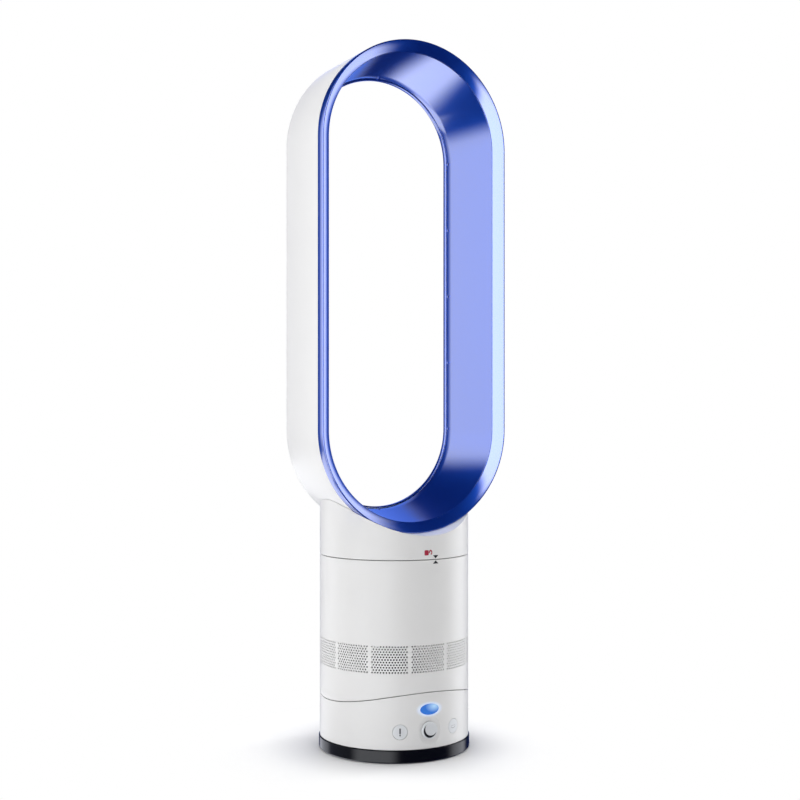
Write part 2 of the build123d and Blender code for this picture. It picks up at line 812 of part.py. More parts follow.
with BuildPart() as tilt_shoe:
    add(tilt_ring(upper_tilt_r, shoe_top_r))
    add(hooks(hook_foot_r, shoe_top_r + 1, hook_width))
    add(hooks(hook_foot_r, hook_top_r, hook_width + 2 * hook_head))
    with BuildSketch(Plane.XY.offset(bowl_z(shoe_top_r, foam_post_y) - 2)):
        with GridLocations(2 * foam_post_x, 2 * foam_post_y, 2, 2):
            Circle(foam_post_r)
    extrude(amount=foam_z - bowl_z(shoe_top_r, foam_post_y) + 2)
    with BuildSketch():
        Circle(wire_hole_r)
        with Locations(*boss_places):
            Circle(screw_r + seat_gap)
    extrude(amount=tilt_axis_z / 2, mode=Mode.SUBTRACT)
    with BuildSketch(Plane.XY.offset(shoe_head_z + screw_head_h)):
        with Locations(*boss_places):
            Circle(screw_head_r + seat_gap)
    extrude(amount=-10, mode=Mode.SUBTRACT)
save(tilt_shoe, "tilt_shoe")
shoe_screw_z = shoe_head_z + screw_head_h
screws("shoe_screws", boss_places, shoe_screw_z, shoe_screw_length, downward=False)

# Main housing: plain tube with twelve perforated intake panels
grille_middle_z = (grille_low + grille_high) / 2
grille_slot_h = grille_high - grille_low - grille_stagger
grille_half = body_r * sin(radians(grille_panel_angle / 2)) - grille_slot / 2
grille_pitch = 2 * grille_half / (grille_columns - 1)
grille_lines = [grille_pitch * index - grille_half for index in range(grille_columns)]
grille_long, grille_short = grille_lines[::2], grille_lines[1::2]
panel_turns = [360 * index / grille_panels for index in range(grille_panels)]
with BuildPart() as housing_bosses:
    with BuildSketch():
        with Locations(*boss_places):
            Circle(boss_r)
            Circle(screw_r, mode=Mode.SUBTRACT)
    extrude(amount=grille_low - body_wall)
    with BuildSketch(Plane.YZ):
        with Locations((0, tilt_axis_z)):
            Circle(shoe_top_r - seat_gap)
    extrude(amount=2 * body_r, both=True, mode=Mode.INTERSECT)
with BuildPart() as main_housing:
    with BuildSketch():
        Circle(body_r)
        Circle(tube_bore_r, mode=Mode.SUBTRACT)
    extrude(amount=housing_top)
    with BuildSketch(Plane.XY.offset(ledge_z)):
        Circle(tube_bore_r + 0.5)
        Circle(tube_bore_r - ledge_width, mode=Mode.SUBTRACT)
    extrude(amount=ledge_h)
    with BuildSketch(Plane.YZ):
        with Locations((0, tilt_axis_z)):
            Circle(upper_tilt_r)
    extrude(amount=2 * body_r, both=True, mode=Mode.INTERSECT)
    add(housing_bosses.part)
    for row_shift, columns in ((grille_stagger / 2, grille_long), (-grille_stagger / 2, grille_short)):
        with BuildSketch(*[panel_plane(turn, body_r + 1, grille_middle_z) for turn in panel_turns]):
            with Locations(*[(x, row_shift) for x in columns]):
                Rectangle(grille_slot, grille_slot_h)
        extrude(amount=-body_wall - 4.6, mode=Mode.SUBTRACT)
save(main_housing, "main_housing")

# Motor driver board and the sound foam above it
with BuildPart() as driver_board:
    with BuildSketch(Plane.XY.offset(driver_z)):
        RectangleRounded(driver_width, driver_length, 2.0)
    extrude(amount=board_h)
    with BuildSketch(Plane.XY.offset(driver_z + board_h)):
        with Locations((-8, 6)):
            Rectangle(14, 12)
        with Locations((12, -8)):
            Circle(4.0)
    extrude(amount=4.5)
    with BuildSketch(Plane.XY.offset(driver_z)):
        with GridLocations(2 * driver_leg_x, 2 * driver_leg_y, 2, 2):
            Circle(2.0)
    extrude(amount=bowl_z(shoe_top_r, driver_leg_y + 2.0) - driver_z + seat_gap / 2)
save(driver_board, "driver_board")

with BuildPart() as sound_foam:
    with BuildSketch(Plane.XY.offset(foam_z)):
        Circle(foam_r)
        Circle(foam_hole_r, mode=Mode.SUBTRACT)
    extrude(amount=foam_h)
save(sound_foam, "sound_foam")

with BuildPart() as duct_seal:
    with BuildSketch(Plane.XY.offset(ledge_z + ledge_h)):
        Circle(inner_r)
        Circle(tube_bore_r - 2 * ledge_width, mode=Mode.SUBTRACT)
    extrude(amount=seal_h)
save(duct_seal, "duct_seal")

# Duct round the impeller: bellmouth, throat, cone and straight outlet
mouth_r = throat_z - flange_z + throat_r
cone_z = impeller_high
duct_outer_r = duct_r + duct_wall
with BuildPart() as air_duct:
    with BuildSketch(Plane.XZ):
        with BuildLine():
            Line((inner_r, flange_z), (mouth_r, flange_z))
            RadiusArc((mouth_r, flange_z), (throat_r, throat_z), throat_z - flange_z)
            Polyline(
                (throat_r, throat_z),
                (duct_r, cone_z),
                (duct_r, duct_top),
                (duct_outer_r, duct_top),
                (duct_outer_r, cone_z - 0.8),
                (throat_r + flange_h, throat_z),
            )
            RadiusArc(
                (throat_r + flange_h, throat_z),
                (mouth_r, flange_z + flange_h),
                flange_h - (throat_z - flange_z),
            )
            Polyline(
                (mouth_r, flange_z + flange_h),
                (inner_r, flange_z + flange_h),
                (inner_r, flange_z),
            )
        make_face()
    revolve(axis=Axis.Z)
save(air_duct, "air_duct")


def hub_radius(height):
    """Radius of the impeller's hub, which swells towards the outlet."""
    share = (height - impeller_low) / (impeller_high - impeller_low)
    return impeller_eye_r + (impeller_back_r - impeller_eye_r) * max(share, 0) ** 1.5


def cone_radius(height):
    """Inside radius of the duct beside the impeller."""
    share = (height - throat_z) / (cone_z - throat_z)
    return throat_r + (duct_r - throat_r) * share


# Mixed-flow impeller: a swelling hub with twisted blades that end close to the duct
blade_levels = [impeller_low + step * (impeller_high - impeller_low - 1) / 4 for step in range(5)]
with BuildPart() as blade:
    for level in blade_levels:
        share = (level - impeller_low) / (impeller_high - impeller_low)
        turn = radians(-impeller_wrap * share**0.8)
        low, high = hub_radius(level) - 1.5, cone_radius(level) - blade_tip_gap
        section = Plane(origin=(0, 0, level), x_dir=(cos(turn), sin(turn), 0))
        with BuildSketch(section):
            with Locations(((low + high) / 2, 0)):
                Rectangle(high - low, blade_h)
    loft()
with BuildPart() as impeller:
    with BuildSketch(Plane.XZ):
        with BuildLine():
            Polyline(
                (shaft_r + shaft_fit / 2, impeller_low - hub_nose),
                (spinner_r, impeller_low - hub_nose),
                (impeller_eye_r, impeller_low),
            )
            Spline(*[(hub_radius(level), level) for level in blade_levels])
            Polyline(
                (hub_radius(blade_levels[-1]), blade_levels[-1]),
                (impeller_back_r, impeller_high),
                (impeller_back_r - 5, impeller_high),
                (impeller_eye_r + 3, impeller_low + 9),
                (impeller_eye_r - 5, impeller_low + 9),
                (impeller_eye_r - 5, impeller_high),
                (shaft_r + shaft_fit / 2, impeller_high),
                (shaft_r + shaft_fit / 2, impeller_low - hub_nose),
            )
        make_face()
    revolve(axis=Axis.Z)
    with PolarLocations(0, impeller_blades):
        add(blade.part)
save(impeller, "impeller")

with BuildPart() as rotor_shaft:
    with BuildSketch(Plane.XY.offset(shaft_low)):
        Circle(shaft_r)
    extrude(amount=shaft_top - shaft_low)
    chamfer(rotor_shaft.edges().filter_by(GeomType.CIRCLE), length=0.5)
save(rotor_shaft, "rotor_shaft")

with BuildPart() as impeller_nut:
    with BuildSketch(Plane.XY.offset(impeller_low - hub_nose - nut_h)):
        RegularPolygon(nut_r, 6)
        Circle(shaft_r + shaft_fit / 2, mode=Mode.SUBTRACT)
    extrude(amount=nut_h)
save(impeller_nut, "impeller_nut")

# Motor: stator with six wound teeth round a magnet rotor on the same shaft
bucket_bore_r = bucket_r - bucket_wall
stator_z = bucket_low + bucket_wall + bearing_h + 1.5
tooth_width = 7.0
with BuildPart() as magnet_rotor:
    with BuildSketch(Plane.XY.offset(stator_z)):
        Circle(stator_bore_r - rotor_air_gap)
        Circle(shaft_r + shaft_fit / 2, mode=Mode.SUBTRACT)
    extrude(amount=stator_h)
save(magnet_rotor, "magnet_rotor")

with BuildPart() as motor_stator:
    with BuildSketch(Plane.XY.offset(stator_z)):
        Circle(bucket_bore_r - seat_gap)
        Circle(stator_yoke_r, mode=Mode.SUBTRACT)
        with PolarLocations((stator_bore_r + stator_yoke_r + 1) / 2, stator_teeth):
            Rectangle(stator_yoke_r + 1 - stator_bore_r, tooth_width)
        with PolarLocations(stator_bore_r + 1.2, stator_teeth):
            Rectangle(2.4, 14.0)
        Circle(stator_bore_r, mode=Mode.SUBTRACT)
    extrude(amount=stator_h)
save(motor_stator, "motor_stator")

coil_low_r = stator_bore_r + 3.2
coil_high_r = stator_yoke_r - 1.2
with BuildPart() as stator_coils:
    with BuildSketch(Plane.XY.offset(stator_z - 1.2)):
        with PolarLocations((coil_low_r + coil_high_r) / 2, stator_teeth):
            Rectangle(coil_high_r - coil_low_r, tooth_width + 5.0)
    extrude(amount=stator_h + 2.4)
    with BuildSketch(Plane.XY.offset(stator_z - seat_gap)):
        with PolarLocations((coil_low_r + stator_yoke_r) / 2, stator_teeth):
            Rectangle(stator_yoke_r - coil_low_r + 2, tooth_width + 2 * seat_gap)
    extrude(amount=stator_h + 2 * seat_gap, mode=Mode.SUBTRACT)
save(stator_coils, "stator_coils")

bearing_places = (bucket_low + bucket_wall, shaft_top - bearing_h + 0.5)
with BuildPart() as motor_bearings:
    for level in bearing_places:
        with BuildSketch(Plane.XY.offset(level)):
            Circle(bearing_r)
            Circle(shaft_r + shaft_fit, mode=Mode.SUBTRACT)
        extrude(amount=bearing_h)
save(motor_bearings, "motor_bearings")

with BuildPart() as motor_bucket:
    with BuildSketch(Plane.XY.offset(bucket_low)):
        Circle(bucket_r)
    extrude(amount=bucket_seam - bucket_low)
    fillet(motor_bucket.edges().group_by(Axis.Z)[0], radius=end_round)
    with BuildSketch(Plane.XY.offset(bucket_low + bucket_wall)):
        Circle(bucket_bore_r)
        Circle(bearing_r + bearing_lip, mode=Mode.SUBTRACT)
    extrude(amount=bearing_h, mode=Mode.SUBTRACT)
    with BuildSketch(Plane.XY.offset(bucket_low + bucket_wall + bearing_h)):
        Circle(bucket_bore_r)
    extrude(amount=bucket_seam, mode=Mode.SUBTRACT)
    with BuildSketch(Plane.XY.offset(bucket_low + bucket_wall)):
        Circle(bearing_r + seat_gap / 2)
    extrude(amount=bearing_h, mode=Mode.SUBTRACT)
    with BuildSketch(Plane.XY.offset(bucket_low)):
        Circle(shaft_r + 1.0)
    extrude(amount=bucket_wall, mode=Mode.SUBTRACT)
save(motor_bucket, "motor_bucket")

# Egg-shaped cap that smooths the air over the motor and holds the upper bearing
cap_rise = cap_top - bucket_seam
cap_ball_r = (bucket_r**2 + cap_rise**2) / (2 * cap_rise)
cap_bearing_z = bearing_places[1]
with BuildPart() as motor_cap:
    with Locations((0, 0, cap_top - cap_ball_r)):
        Sphere(cap_ball_r)
        Sphere(cap_ball_r - bucket_wall, mode=Mode.SUBTRACT)
    with BuildSketch(Plane.XY.offset(bucket_seam)):
        Circle(2 * bucket_r)
    extrude(amount=-4 * cap_ball_r, mode=Mode.SUBTRACT)
    with BuildSketch(Plane.XY.offset(cap_bearing_z)):
        Circle(bearing_r + bucket_wall)
        Circle(bearing_r + seat_gap / 2, mode=Mode.SUBTRACT)
    extrude(amount=cap_top - cap_bearing_z - bucket_wall - 1)
    with BuildSketch(Plane.XY.offset(cap_bearing_z + bearing_h)):
        Circle(bearing_r + bucket_wall / 2)
    extrude(amount=1.5)
save(motor_cap, "motor_cap")

with BuildPart() as motor_sleeve:
    with BuildSketch(Plane.XY.offset(vane_low)):
        Circle(bucket_r + seat_gap / 2 + sleeve_wall)
        Circle(bucket_r + seat_gap / 2, mode=Mode.SUBTRACT)
    extrude(amount=sleeve_h)
save(motor_sleeve, "motor_sleeve")

# Diffuser: curved fixed vanes that carry the motor in the middle of the duct
vane_ring_r = bucket_r + sleeve_wall + seat_gap
vane_levels = [vane_low + step * (vane_high - vane_low) / 3 for step in range(4)]
with BuildPart() as vane:
    for level in vane_levels:
        share = (vane_high - level) / (vane_high - vane_low)
        turn = radians(vane_wrap * share**1.6)
        low, high = vane_ring_r + 0.8, duct_r - 1.2
        section = Plane(origin=(0, 0, level), x_dir=(cos(turn), sin(turn), 0))
        with BuildSketch(section):
            with Locations(((low + high) / 2, 0)):
                Rectangle(high - low, blade_h)
    loft()
with BuildPart() as diffuser:
    with BuildSketch(Plane.XY.offset(vane_low - 1)):
        Circle(duct_r - seat_gap / 2)
        Circle(duct_r - 1.8, mode=Mode.SUBTRACT)
        Circle(vane_ring_r + 1.8)
        Circle(vane_ring_r, mode=Mode.SUBTRACT)
    extrude(amount=vane_high - vane_low + 2)
    with PolarLocations(0, vane_count):
        add(vane.part)
save(diffuser, "diffuser")

# Bayonet ring fixed in the top of the housing, with lugs that point inwards
bayonet_r = inner_r - bayonet_ring_wall


def lug_ring(outer, inner, low, height):
    """Equal lugs between two radii, the first one centred on the front."""
    half = radians(lug_angle / 2)
    with BuildPart() as lugs:
        with BuildSketch(Plane.XY.offset(low)):
            Circle(outer)
            Circle(inner, mode=Mode.SUBTRACT)
        extrude(amount=height)
        with BuildSketch(Plane.XY.offset(low)):
            with PolarLocations(0, lug_count, start_angle=-90):
                Polygon(
                    (0, 0),
                    (2 * outer, -2 * outer * tan(half)),
                    (2 * outer, 2 * outer * tan(half)),
                    align=None,
                )
        extrude(amount=height, mode=Mode.INTERSECT)
    return lugs.part


with BuildPart() as bayonet_ring:
    with BuildSketch(Plane.XY.offset(lower_lug_z - 3)):
        Circle(inner_r)
        Circle(bayonet_r, mode=Mode.SUBTRACT)
    extrude(amount=upper_lug_z + lug_h - lower_lug_z + 3)
    add(lug_ring(bayonet_r + 0.5, bayonet_r - lug_depth, upper_lug_z, lug_h))
save(bayonet_ring, "bayonet_ring")

# ================================================================ NOZZLE
# Collar: tube, skirt with outward lugs, and a saddle top that carries the loop
saddle_r = loop_r + move_gap
inlet_depth = inlet_back_y - inlet_front_y
inlet_middle_y = (inlet_front_y + inlet_back_y) / 2


def saddle_block(radius, low, saddle):
    """A round bar that stands on its base and is hollowed on top by the loop."""
    with BuildPart() as bar:
        with BuildSketch(Plane.XY.offset(low)):
            Circle(radius)
        extrude(amount=loop_low_z - loop_r / 2 - low)
        with BuildSketch(Plane.XZ):
            with Locations((0, loop_low_z)):
                Circle(saddle)
        extrude(amount=2 * body_r, both=True, mode=Mode.SUBTRACT)
    return bar.part


with BuildPart() as nozzle_collar:
    add(saddle_block(body_r, collar_z, saddle_r))
    add(saddle_block(tube_bore_r, collar_z, saddle_r + body_wall), mode=Mode.SUBTRACT)
    with BuildSketch(Plane.XY.offset(collar_z + 4)):
        Circle(tube_bore_r + 0.5)
        Circle(skirt_bore_r, mode=Mode.SUBTRACT)
    extrude(amount=collar_web)
    with BuildSketch(Plane.XY.offset(skirt_z)):
        Circle(skirt_r)
        Circle(skirt_bore_r, mode=Mode.SUBTRACT)
    extrude(amount=collar_z + 4 + collar_web - skirt_z)
    add(lug_ring(skirt_r + lug_depth, skirt_r - 0.5, lower_lug_z, lug_h))
    with BuildSketch(Plane.XY.offset(loop_low_z - loop_r - 10)):
        with Locations((0, inlet_middle_y)):
            RectangleRounded(2 * inlet_half_width, inlet_depth, 4.0)
    extrude(amount=loop_r, mode=Mode.SUBTRACT)
save(nozzle_collar, "nozzle_collar")

with BuildPart() as nozzle_seal:
    with BuildSketch(Plane.XY.offset(duct_top + move_gap)):
        Circle(skirt_bore_r - seat_gap / 2)
        Circle(duct_r + 0.3, mode=Mode.SUBTRACT)
    extrude(amount=seal_height)
save(nozzle_seal, "nozzle_seal")

# The loop's centre line: up one side, over the top, down and back under
with BuildLine(Plane.XZ) as loop_line:
    Line((loop_r, loop_low_z), (loop_r, loop_high_z))
    RadiusArc((loop_r, loop_high_z), (-loop_r, loop_high_z), -loop_r)
    Line((-loop_r, loop_high_z), (-loop_r, loop_low_z))
    RadiusArc((-loop_r, loop_low_z), (loop_r, loop_low_z), -loop_r)
loop_path = loop_line.wires()[0]
loop_plane = Plane.XY.offset(loop_low_z)

# White outer shell: its back rolls inwards and forwards to the lip of the air slot
shell_bore_r = loop_r - loop_wall
lip_back_r = throat_lip_r + lip_wall
shell_corners = [
    (loop_r, band_back_y),
    (loop_r, loop_back_y),
    (throat_lip_r, loop_back_y),
    (throat_lip_r, lip_front_y),
]
hollow_corners = [
    (lip_back_r, lip_front_y),
    (lip_back_r, loop_back_y - loop_wall),
    (shell_bore_r, loop_back_y - loop_wall),
    (shell_bore_r, band_back_y),
]
with BuildPart() as outer_shell:
    with BuildSketch(loop_plane):
        with BuildLine():
            FilletPolyline(*shell_corners, radius=loop_back_round)
            Line(shell_corners[-1], hollow_corners[0])
            FilletPolyline(*hollow_corners, radius=loop_back_round - loop_wall)
            Line(hollow_corners[-1], shell_corners[0])
        make_face()
    sweep(path=loop_path)
    with BuildSketch(Plane.XY.offset(loop_low_z - loop_r - 10)):
        with Locations((0, inlet_middle_y)):
            RectangleRounded(2 * inlet_half_width, inlet_depth, 4.0)
    extrude(amount=loop_r / 2, mode=Mode.SUBTRACT)
save(outer_shell, "outer_shell")

# Blue inner wall that the air jet follows, flaring towards the front
bevel_r = loop_r - bevel_width
bevel_y = loop_front_y + bevel_depth
with BuildPart() as air_guide:
    with BuildSketch(loop_plane):
        with BuildLine():
            Polyline((bevel_r, bevel_y), (guide_r, guide_bend_y), (guide_r, guide_nose_y - 1))
            RadiusArc((guide_r, guide_nose_y - 1), (guide_r + 1, guide_nose_y), 1)
            Line((guide_r + 1, guide_nose_y), (guide_r + loop_wall, guide_nose_y))
            Polyline(
                (guide_r + loop_wall, guide_nose_y),
                (guide_r + loop_wall, guide_bend_y),
                (bevel_r + loop_wall, bevel_y),
                (bevel_r, bevel_y),
            )
        make_face()
    sweep(path=loop_path)
save(air_guide, "air_guide")

# Blue front ring: side band, sharp front edge and wide bevel
with BuildPart() as front_ring:
    with BuildSketch(loop_plane):
        with BuildLine():
            Polyline(
                (loop_r, band_back_y),
                (shell_bore_r, band_back_y),
                (shell_bore_r, loop_front_y + (bevel_wall + loop_wall) * bevel_depth / bevel_width),
                (bevel_r + bevel_wall, bevel_y),
                (bevel_r, bevel_y),
                (loop_r - 0.7, loop_front_y + 0.7 * bevel_depth / bevel_width),
                (loop_r, loop_front_y + 0.7),
                close=True,
            )
        make_face()
    sweep(path=loop_path)
save(front_ring, "front_ring")

# Small blocks that hold the air slot open all the way round
slot_middle_r = lip_back_r + slot_width / 2
slot_middle_y = (lip_front_y + guide_nose_y) / 2

with BuildPart() as slot_spacers:
    for side in (-1, 1):
        for index in range(spacer_count):
            level = loop_low_z + loop_straight * index / (spacer_count - 1)
            with Locations((side * slot_middle_r, slot_middle_y, level)):
                Box(slot_width - 2 * seat_gap, 3.0, 2.0)
    for level, side in ((loop_high_z, 1), (loop_low_z, -1)):
        with Locations((0, slot_middle_y, level + side * slot_middle_r)):
            Box(2.0, 3.0, slot_width - 2 * seat_gap)
save(slot_spacers, "slot_spacers")
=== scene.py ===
# %% [markdown]
# # Tower fan with an open loop nozzle
#
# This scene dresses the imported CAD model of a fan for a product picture. The CAD gives every
# piece its size and place. Here the pieces that the camera sees best are built again with finer
# meshes, and everything gets a procedural material. Lengths are in metres, +Z is up and the
# front faces -Y.

# %% Load the frame
import bpy
import bmesh
import json
import math
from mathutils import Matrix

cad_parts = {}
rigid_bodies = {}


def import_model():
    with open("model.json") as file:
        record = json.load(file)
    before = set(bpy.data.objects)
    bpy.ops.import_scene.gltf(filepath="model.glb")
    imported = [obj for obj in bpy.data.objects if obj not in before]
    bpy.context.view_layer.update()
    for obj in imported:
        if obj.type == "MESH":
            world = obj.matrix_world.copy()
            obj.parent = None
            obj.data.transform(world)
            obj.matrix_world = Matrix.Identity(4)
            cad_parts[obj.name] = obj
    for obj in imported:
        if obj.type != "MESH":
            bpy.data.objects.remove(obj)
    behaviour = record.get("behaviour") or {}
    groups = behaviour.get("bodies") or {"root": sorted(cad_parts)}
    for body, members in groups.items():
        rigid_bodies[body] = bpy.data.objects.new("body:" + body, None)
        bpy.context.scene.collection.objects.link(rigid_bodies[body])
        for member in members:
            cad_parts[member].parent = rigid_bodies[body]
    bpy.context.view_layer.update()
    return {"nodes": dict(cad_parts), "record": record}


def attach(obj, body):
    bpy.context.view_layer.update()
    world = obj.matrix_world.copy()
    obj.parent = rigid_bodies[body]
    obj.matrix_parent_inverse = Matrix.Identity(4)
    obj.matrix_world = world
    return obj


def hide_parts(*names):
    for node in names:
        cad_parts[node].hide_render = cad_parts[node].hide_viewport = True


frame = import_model()
nodes = frame["nodes"]

# %% [markdown]
# ## Sizes
#
# These repeat the sizes of the CAD model, in metres. Only the gaps at the two seams of the main
# housing are 0.2 mm wider, so that they show as the thin dark lines of the photograph.

# %% Sizes
MM = 0.001
BODY_R = 74 * MM
BODY_WALL = 2.4 * MM
BODY_IN = BODY_R - BODY_WALL
SEAM_ROUND = 0.8 * MM
LOOP_LOW = 315 * MM  # middle of the loop's lower half circle
LOOP_HIGH = 592.5 * MM  # middle of its upper half circle
SADDLE_R = 100.3 * MM  # the loop's bed on the collar
TILT_Z = 270 * MM  # height of the tilt axis, which runs along X
TILT_R = 217 * MM  # the curved seam round it
HOUSING_TILT_R = TILT_R - 0.4 * MM
HOUSING_TOP = 191.6 * MM
GRILLE_LOW = 84.6 * MM
GRILLE_HIGH = 111.5 * MM
PANEL_Z = 29.8 * MM  # height of the two buttons
BUTTON_ANGLE = 23  # degrees from the front, to both sides
print("body:", BODY_R * 2, "grille:", GRILLE_LOW, "to", GRILLE_HIGH)

# %% [markdown]
# ## Helpers
#
# A piece is made from plain lists of points and faces. Its object stays at the origin, so its
# place is in its mesh. Edges sharper than a given angle stay sharp, the rest is shaded smooth.


def plain_name(material):
    """A material's name without the number that Blender adds, as the CAD file uses some names."""
    return material.name.split(".")[0]


def add_object(name, data):
    made = bpy.data.objects.new(name, data)
    bpy.context.scene.collection.objects.link(made)
    return made


def dress_mesh(name, mesh, body, material, sharp=35, replace=()):
    """A finished piece from a mesh that is in its place."""
    tidy = bmesh.new()
    tidy.from_mesh(mesh)
    bmesh.ops.remove_doubles(tidy, verts=tidy.verts, dist=2e-7)
    bmesh.ops.recalc_face_normals(tidy, faces=tidy.faces)
    tidy.to_mesh(mesh)
    tidy.free()
    mesh.shade_smooth()
    mesh.set_sharp_from_angle(angle=math.radians(sharp))
    mesh.materials.clear()
    mesh.materials.append(material)
    piece = add_object(name, mesh)
    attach(piece, body)
    if replace:
        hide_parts(*replace)
    print(name, len(mesh.polygons), "faces")
    return piece


def make_piece(name, points, faces, body, material, sharp=35, replace=()):
    mesh = bpy.data.meshes.new(name)
    mesh.from_pydata([tuple(p) for p in points], [], faces)
    mesh.validate()
    return dress_mesh(name, mesh, body, material, sharp, replace)


print("piece helpers ready")

# %% [markdown]
# Outlines are drawn with rounded corners and then swept round a loop or turned round an axis.


# %% Shape helpers
NEARLY_STRAIGHT = 0.01
MOST_OF_SIDE = 0.45


def round_corners(corners, steps=4):
    """A closed outline as points. Each corner is (x, y, radius of its rounding).

    A corner that is nearly straight isn't rounded, and a rounding takes less than half a side.
    """
    outline = []
    count = len(corners)
    for index, (x, y, radius) in enumerate(corners):
        before, after = corners[index - 1], corners[(index + 1) % count]
        a = (before[0] - x, before[1] - y)
        b = (after[0] - x, after[1] - y)
        length_a, length_b = math.hypot(*a), math.hypot(*b)
        a = (a[0] / length_a, a[1] / length_a)
        b = (b[0] / length_b, b[1] / length_b)
        cosine = max(-1.0, min(1.0, a[0] * b[0] + a[1] * b[1]))
        half = math.acos(cosine) / 2
        if radius <= 0 or abs(half - math.pi / 2) < NEARLY_STRAIGHT:
            outline.append((x, y))
            continue
        reach = min(radius / math.tan(half), MOST_OF_SIDE * length_a, MOST_OF_SIDE * length_b)
        radius = reach * math.tan(half)
        middle = (a[0] + b[0], a[1] + b[1])
        size = math.hypot(*middle)
        centre = (
            x + middle[0] / size * radius / math.sin(half),
            y + middle[1] / size * radius / math.sin(half),
        )
        start = (x + a[0] * reach - centre[0], y + a[1] * reach - centre[1])
        end = (x + b[0] * reach - centre[0], y + b[1] * reach - centre[1])
        turn = math.atan2(
            start[0] * end[1] - start[1] * end[0], start[0] * end[0] + start[1] * end[1]
        )
        for step in range(steps + 1):
            angle = turn * step / steps
            outline.append((
                centre[0] + start[0] * math.cos(angle) - start[1] * math.sin(angle),
                centre[1] + start[0] * math.sin(angle) + start[1] * math.cos(angle),
            ))
    return outline


def in_metres(outline):
    return [(x * MM, y * MM) for x, y in outline]


def closed_sweep(rings):
    """Points and faces of a closed tube from equal rings of points. The last meets the first."""
    size = len(rings[0])
    points = [p for ring in rings for p in ring]
    faces = []
    for a in range(len(rings)):
        b = (a + 1) % len(rings)
        for i in range(size):
            j = (i + 1) % size
            faces.append((a * size + i, a * size + j, b * size + j, b * size + i))
    return points, faces


def turned(profile, segments):
    """Rings of points: a profile of (radius, height) at equal steps round the Z axis."""
    turns = [2 * math.pi * step / segments for step in range(segments)]
    return [[(r * math.cos(t), r * math.sin(t), z) for r, z in profile] for t in turns]


def lathe(profile, segments=192):
    """A closed outline of (radius, height) turned round the Z axis."""
    return closed_sweep(turned(profile, segments))


def on_tube(radius, angle, height):
    """A point round the Z axis, by its angle in degrees from the front."""
    turn = math.radians(angle)
    return (radius * math.sin(turn), -radius * math.cos(turn), height)


print("shape helpers ready")

# %% [markdown]
# ## Materials
#
# Every material is built from nodes, so a few helpers place a node, set it up and link it.


# %% Node helpers
def add_node(tree, kind, place, inputs=(), **properties):
    """A new node. inputs are values of its sockets, by name or number."""
    node = tree.nodes.new(kind)
    node.location = place
    for name, value in properties.items():
        setattr(node, name, value)
    for name, value in dict(inputs).items():
        node.inputs[name].default_value = value
    return node


def math_node(tree, place, operation, *values):
    """The output of a math node. Its inputs are sockets or numbers."""
    node = add_node(tree, "ShaderNodeMath", place, operation=operation)
    for index, value in enumerate(values):
        if hasattr(value, "is_output"):
            tree.links.new(value, node.inputs[index])
        else:
            node.inputs[index].default_value = value
    return node.outputs[0]


def smooth_range(tree, place, value, start, end, low=0.0, high=1.0):
    """Goes smoothly from low to high while the value goes from start to end."""
    node = add_node(tree, "ShaderNodeMapRange", place, {
        "From Min": start, "From Max": end, "To Min": low, "To Max": high,
    }, interpolation_type="SMOOTHSTEP")
    tree.links.new(value, node.inputs["Value"])
    return node.outputs["Result"]


print("node helpers ready")

# %% [markdown]
# One node group gives every moulded piece its surface: a very fine texture in the normal and a
# slow change in roughness, as real mouldings have. The materials only choose its scale and
# strength.


# %% Shared node group
MOULDED_INPUTS = {
    "Grain scale": 900.0, "Grain strength": 0.05, "Roughness": 0.3, "Roughness change": 0.06,
}


def moulded_group():
    tree = bpy.data.node_groups.new("moulded_surface", "ShaderNodeTree")
    for name, default in MOULDED_INPUTS.items():
        socket = tree.interface.new_socket(name, in_out="INPUT", socket_type="NodeSocketFloat")
        socket.default_value = default
    tree.interface.new_socket("Roughness", in_out="OUTPUT", socket_type="NodeSocketFloat")
    tree.interface.new_socket("Mask", in_out="OUTPUT", socket_type="NodeSocketFloat")
    tree.interface.new_socket("Normal", in_out="OUTPUT", socket_type="NodeSocketVector")
    enter = add_node(tree, "NodeGroupInput", (-900, 0))
    leave = add_node(tree, "NodeGroupOutput", (500, 0))
    coords = add_node(tree, "ShaderNodeTexCoord", (-900, -300))
    grain = add_node(tree, "ShaderNodeTexNoise", (-600, -300), {"Detail": 3.0})
    cloud = add_node(tree, "ShaderNodeTexNoise", (-600, 100), {"Scale": 24.0, "Detail": 4.0})
    spread = math_node(tree, (-350, 100), "SUBTRACT", cloud.outputs["Fac"], 0.5)
    change = math_node(tree, (-150, 100), "MULTIPLY", spread, enter.outputs["Roughness change"])
    total = add_node(tree, "ShaderNodeMath", (50, 100), operation="ADD", use_clamp=True)
    bump = add_node(tree, "ShaderNodeBump", (0, -300), {"Distance": 0.06 * MM})
    edge = add_node(tree, "ShaderNodeBevel", (-300, -500), {"Radius": 0.3 * MM}, samples=4)
    link = tree.links.new
    link(coords.outputs["Object"], grain.inputs["Vector"])
    link(coords.outputs["Object"], cloud.inputs["Vector"])
    link(enter.outputs["Grain scale"], grain.inputs["Scale"])
    link(change, total.inputs[0])
    link(enter.outputs["Roughness"], total.inputs[1])
    link(grain.outputs["Fac"], bump.inputs["Height"])
    link(enter.outputs["Grain strength"], bump.inputs["Strength"])
    link(edge.outputs["Normal"], bump.inputs["Normal"])
    link(total.outputs[0], leave.inputs["Roughness"])
    link(cloud.outputs["Fac"], leave.inputs["Mask"])
    link(bump.outputs["Normal"], leave.inputs["Normal"])
    return tree


MOULDED = moulded_group()
print("node group:", MOULDED.name)

# %% [markdown]
# A material takes two close colours that the group's mask mixes, so no surface is one flat
# colour. Its own settings, such as IOR=1.4, go straight to the sockets of its shader.


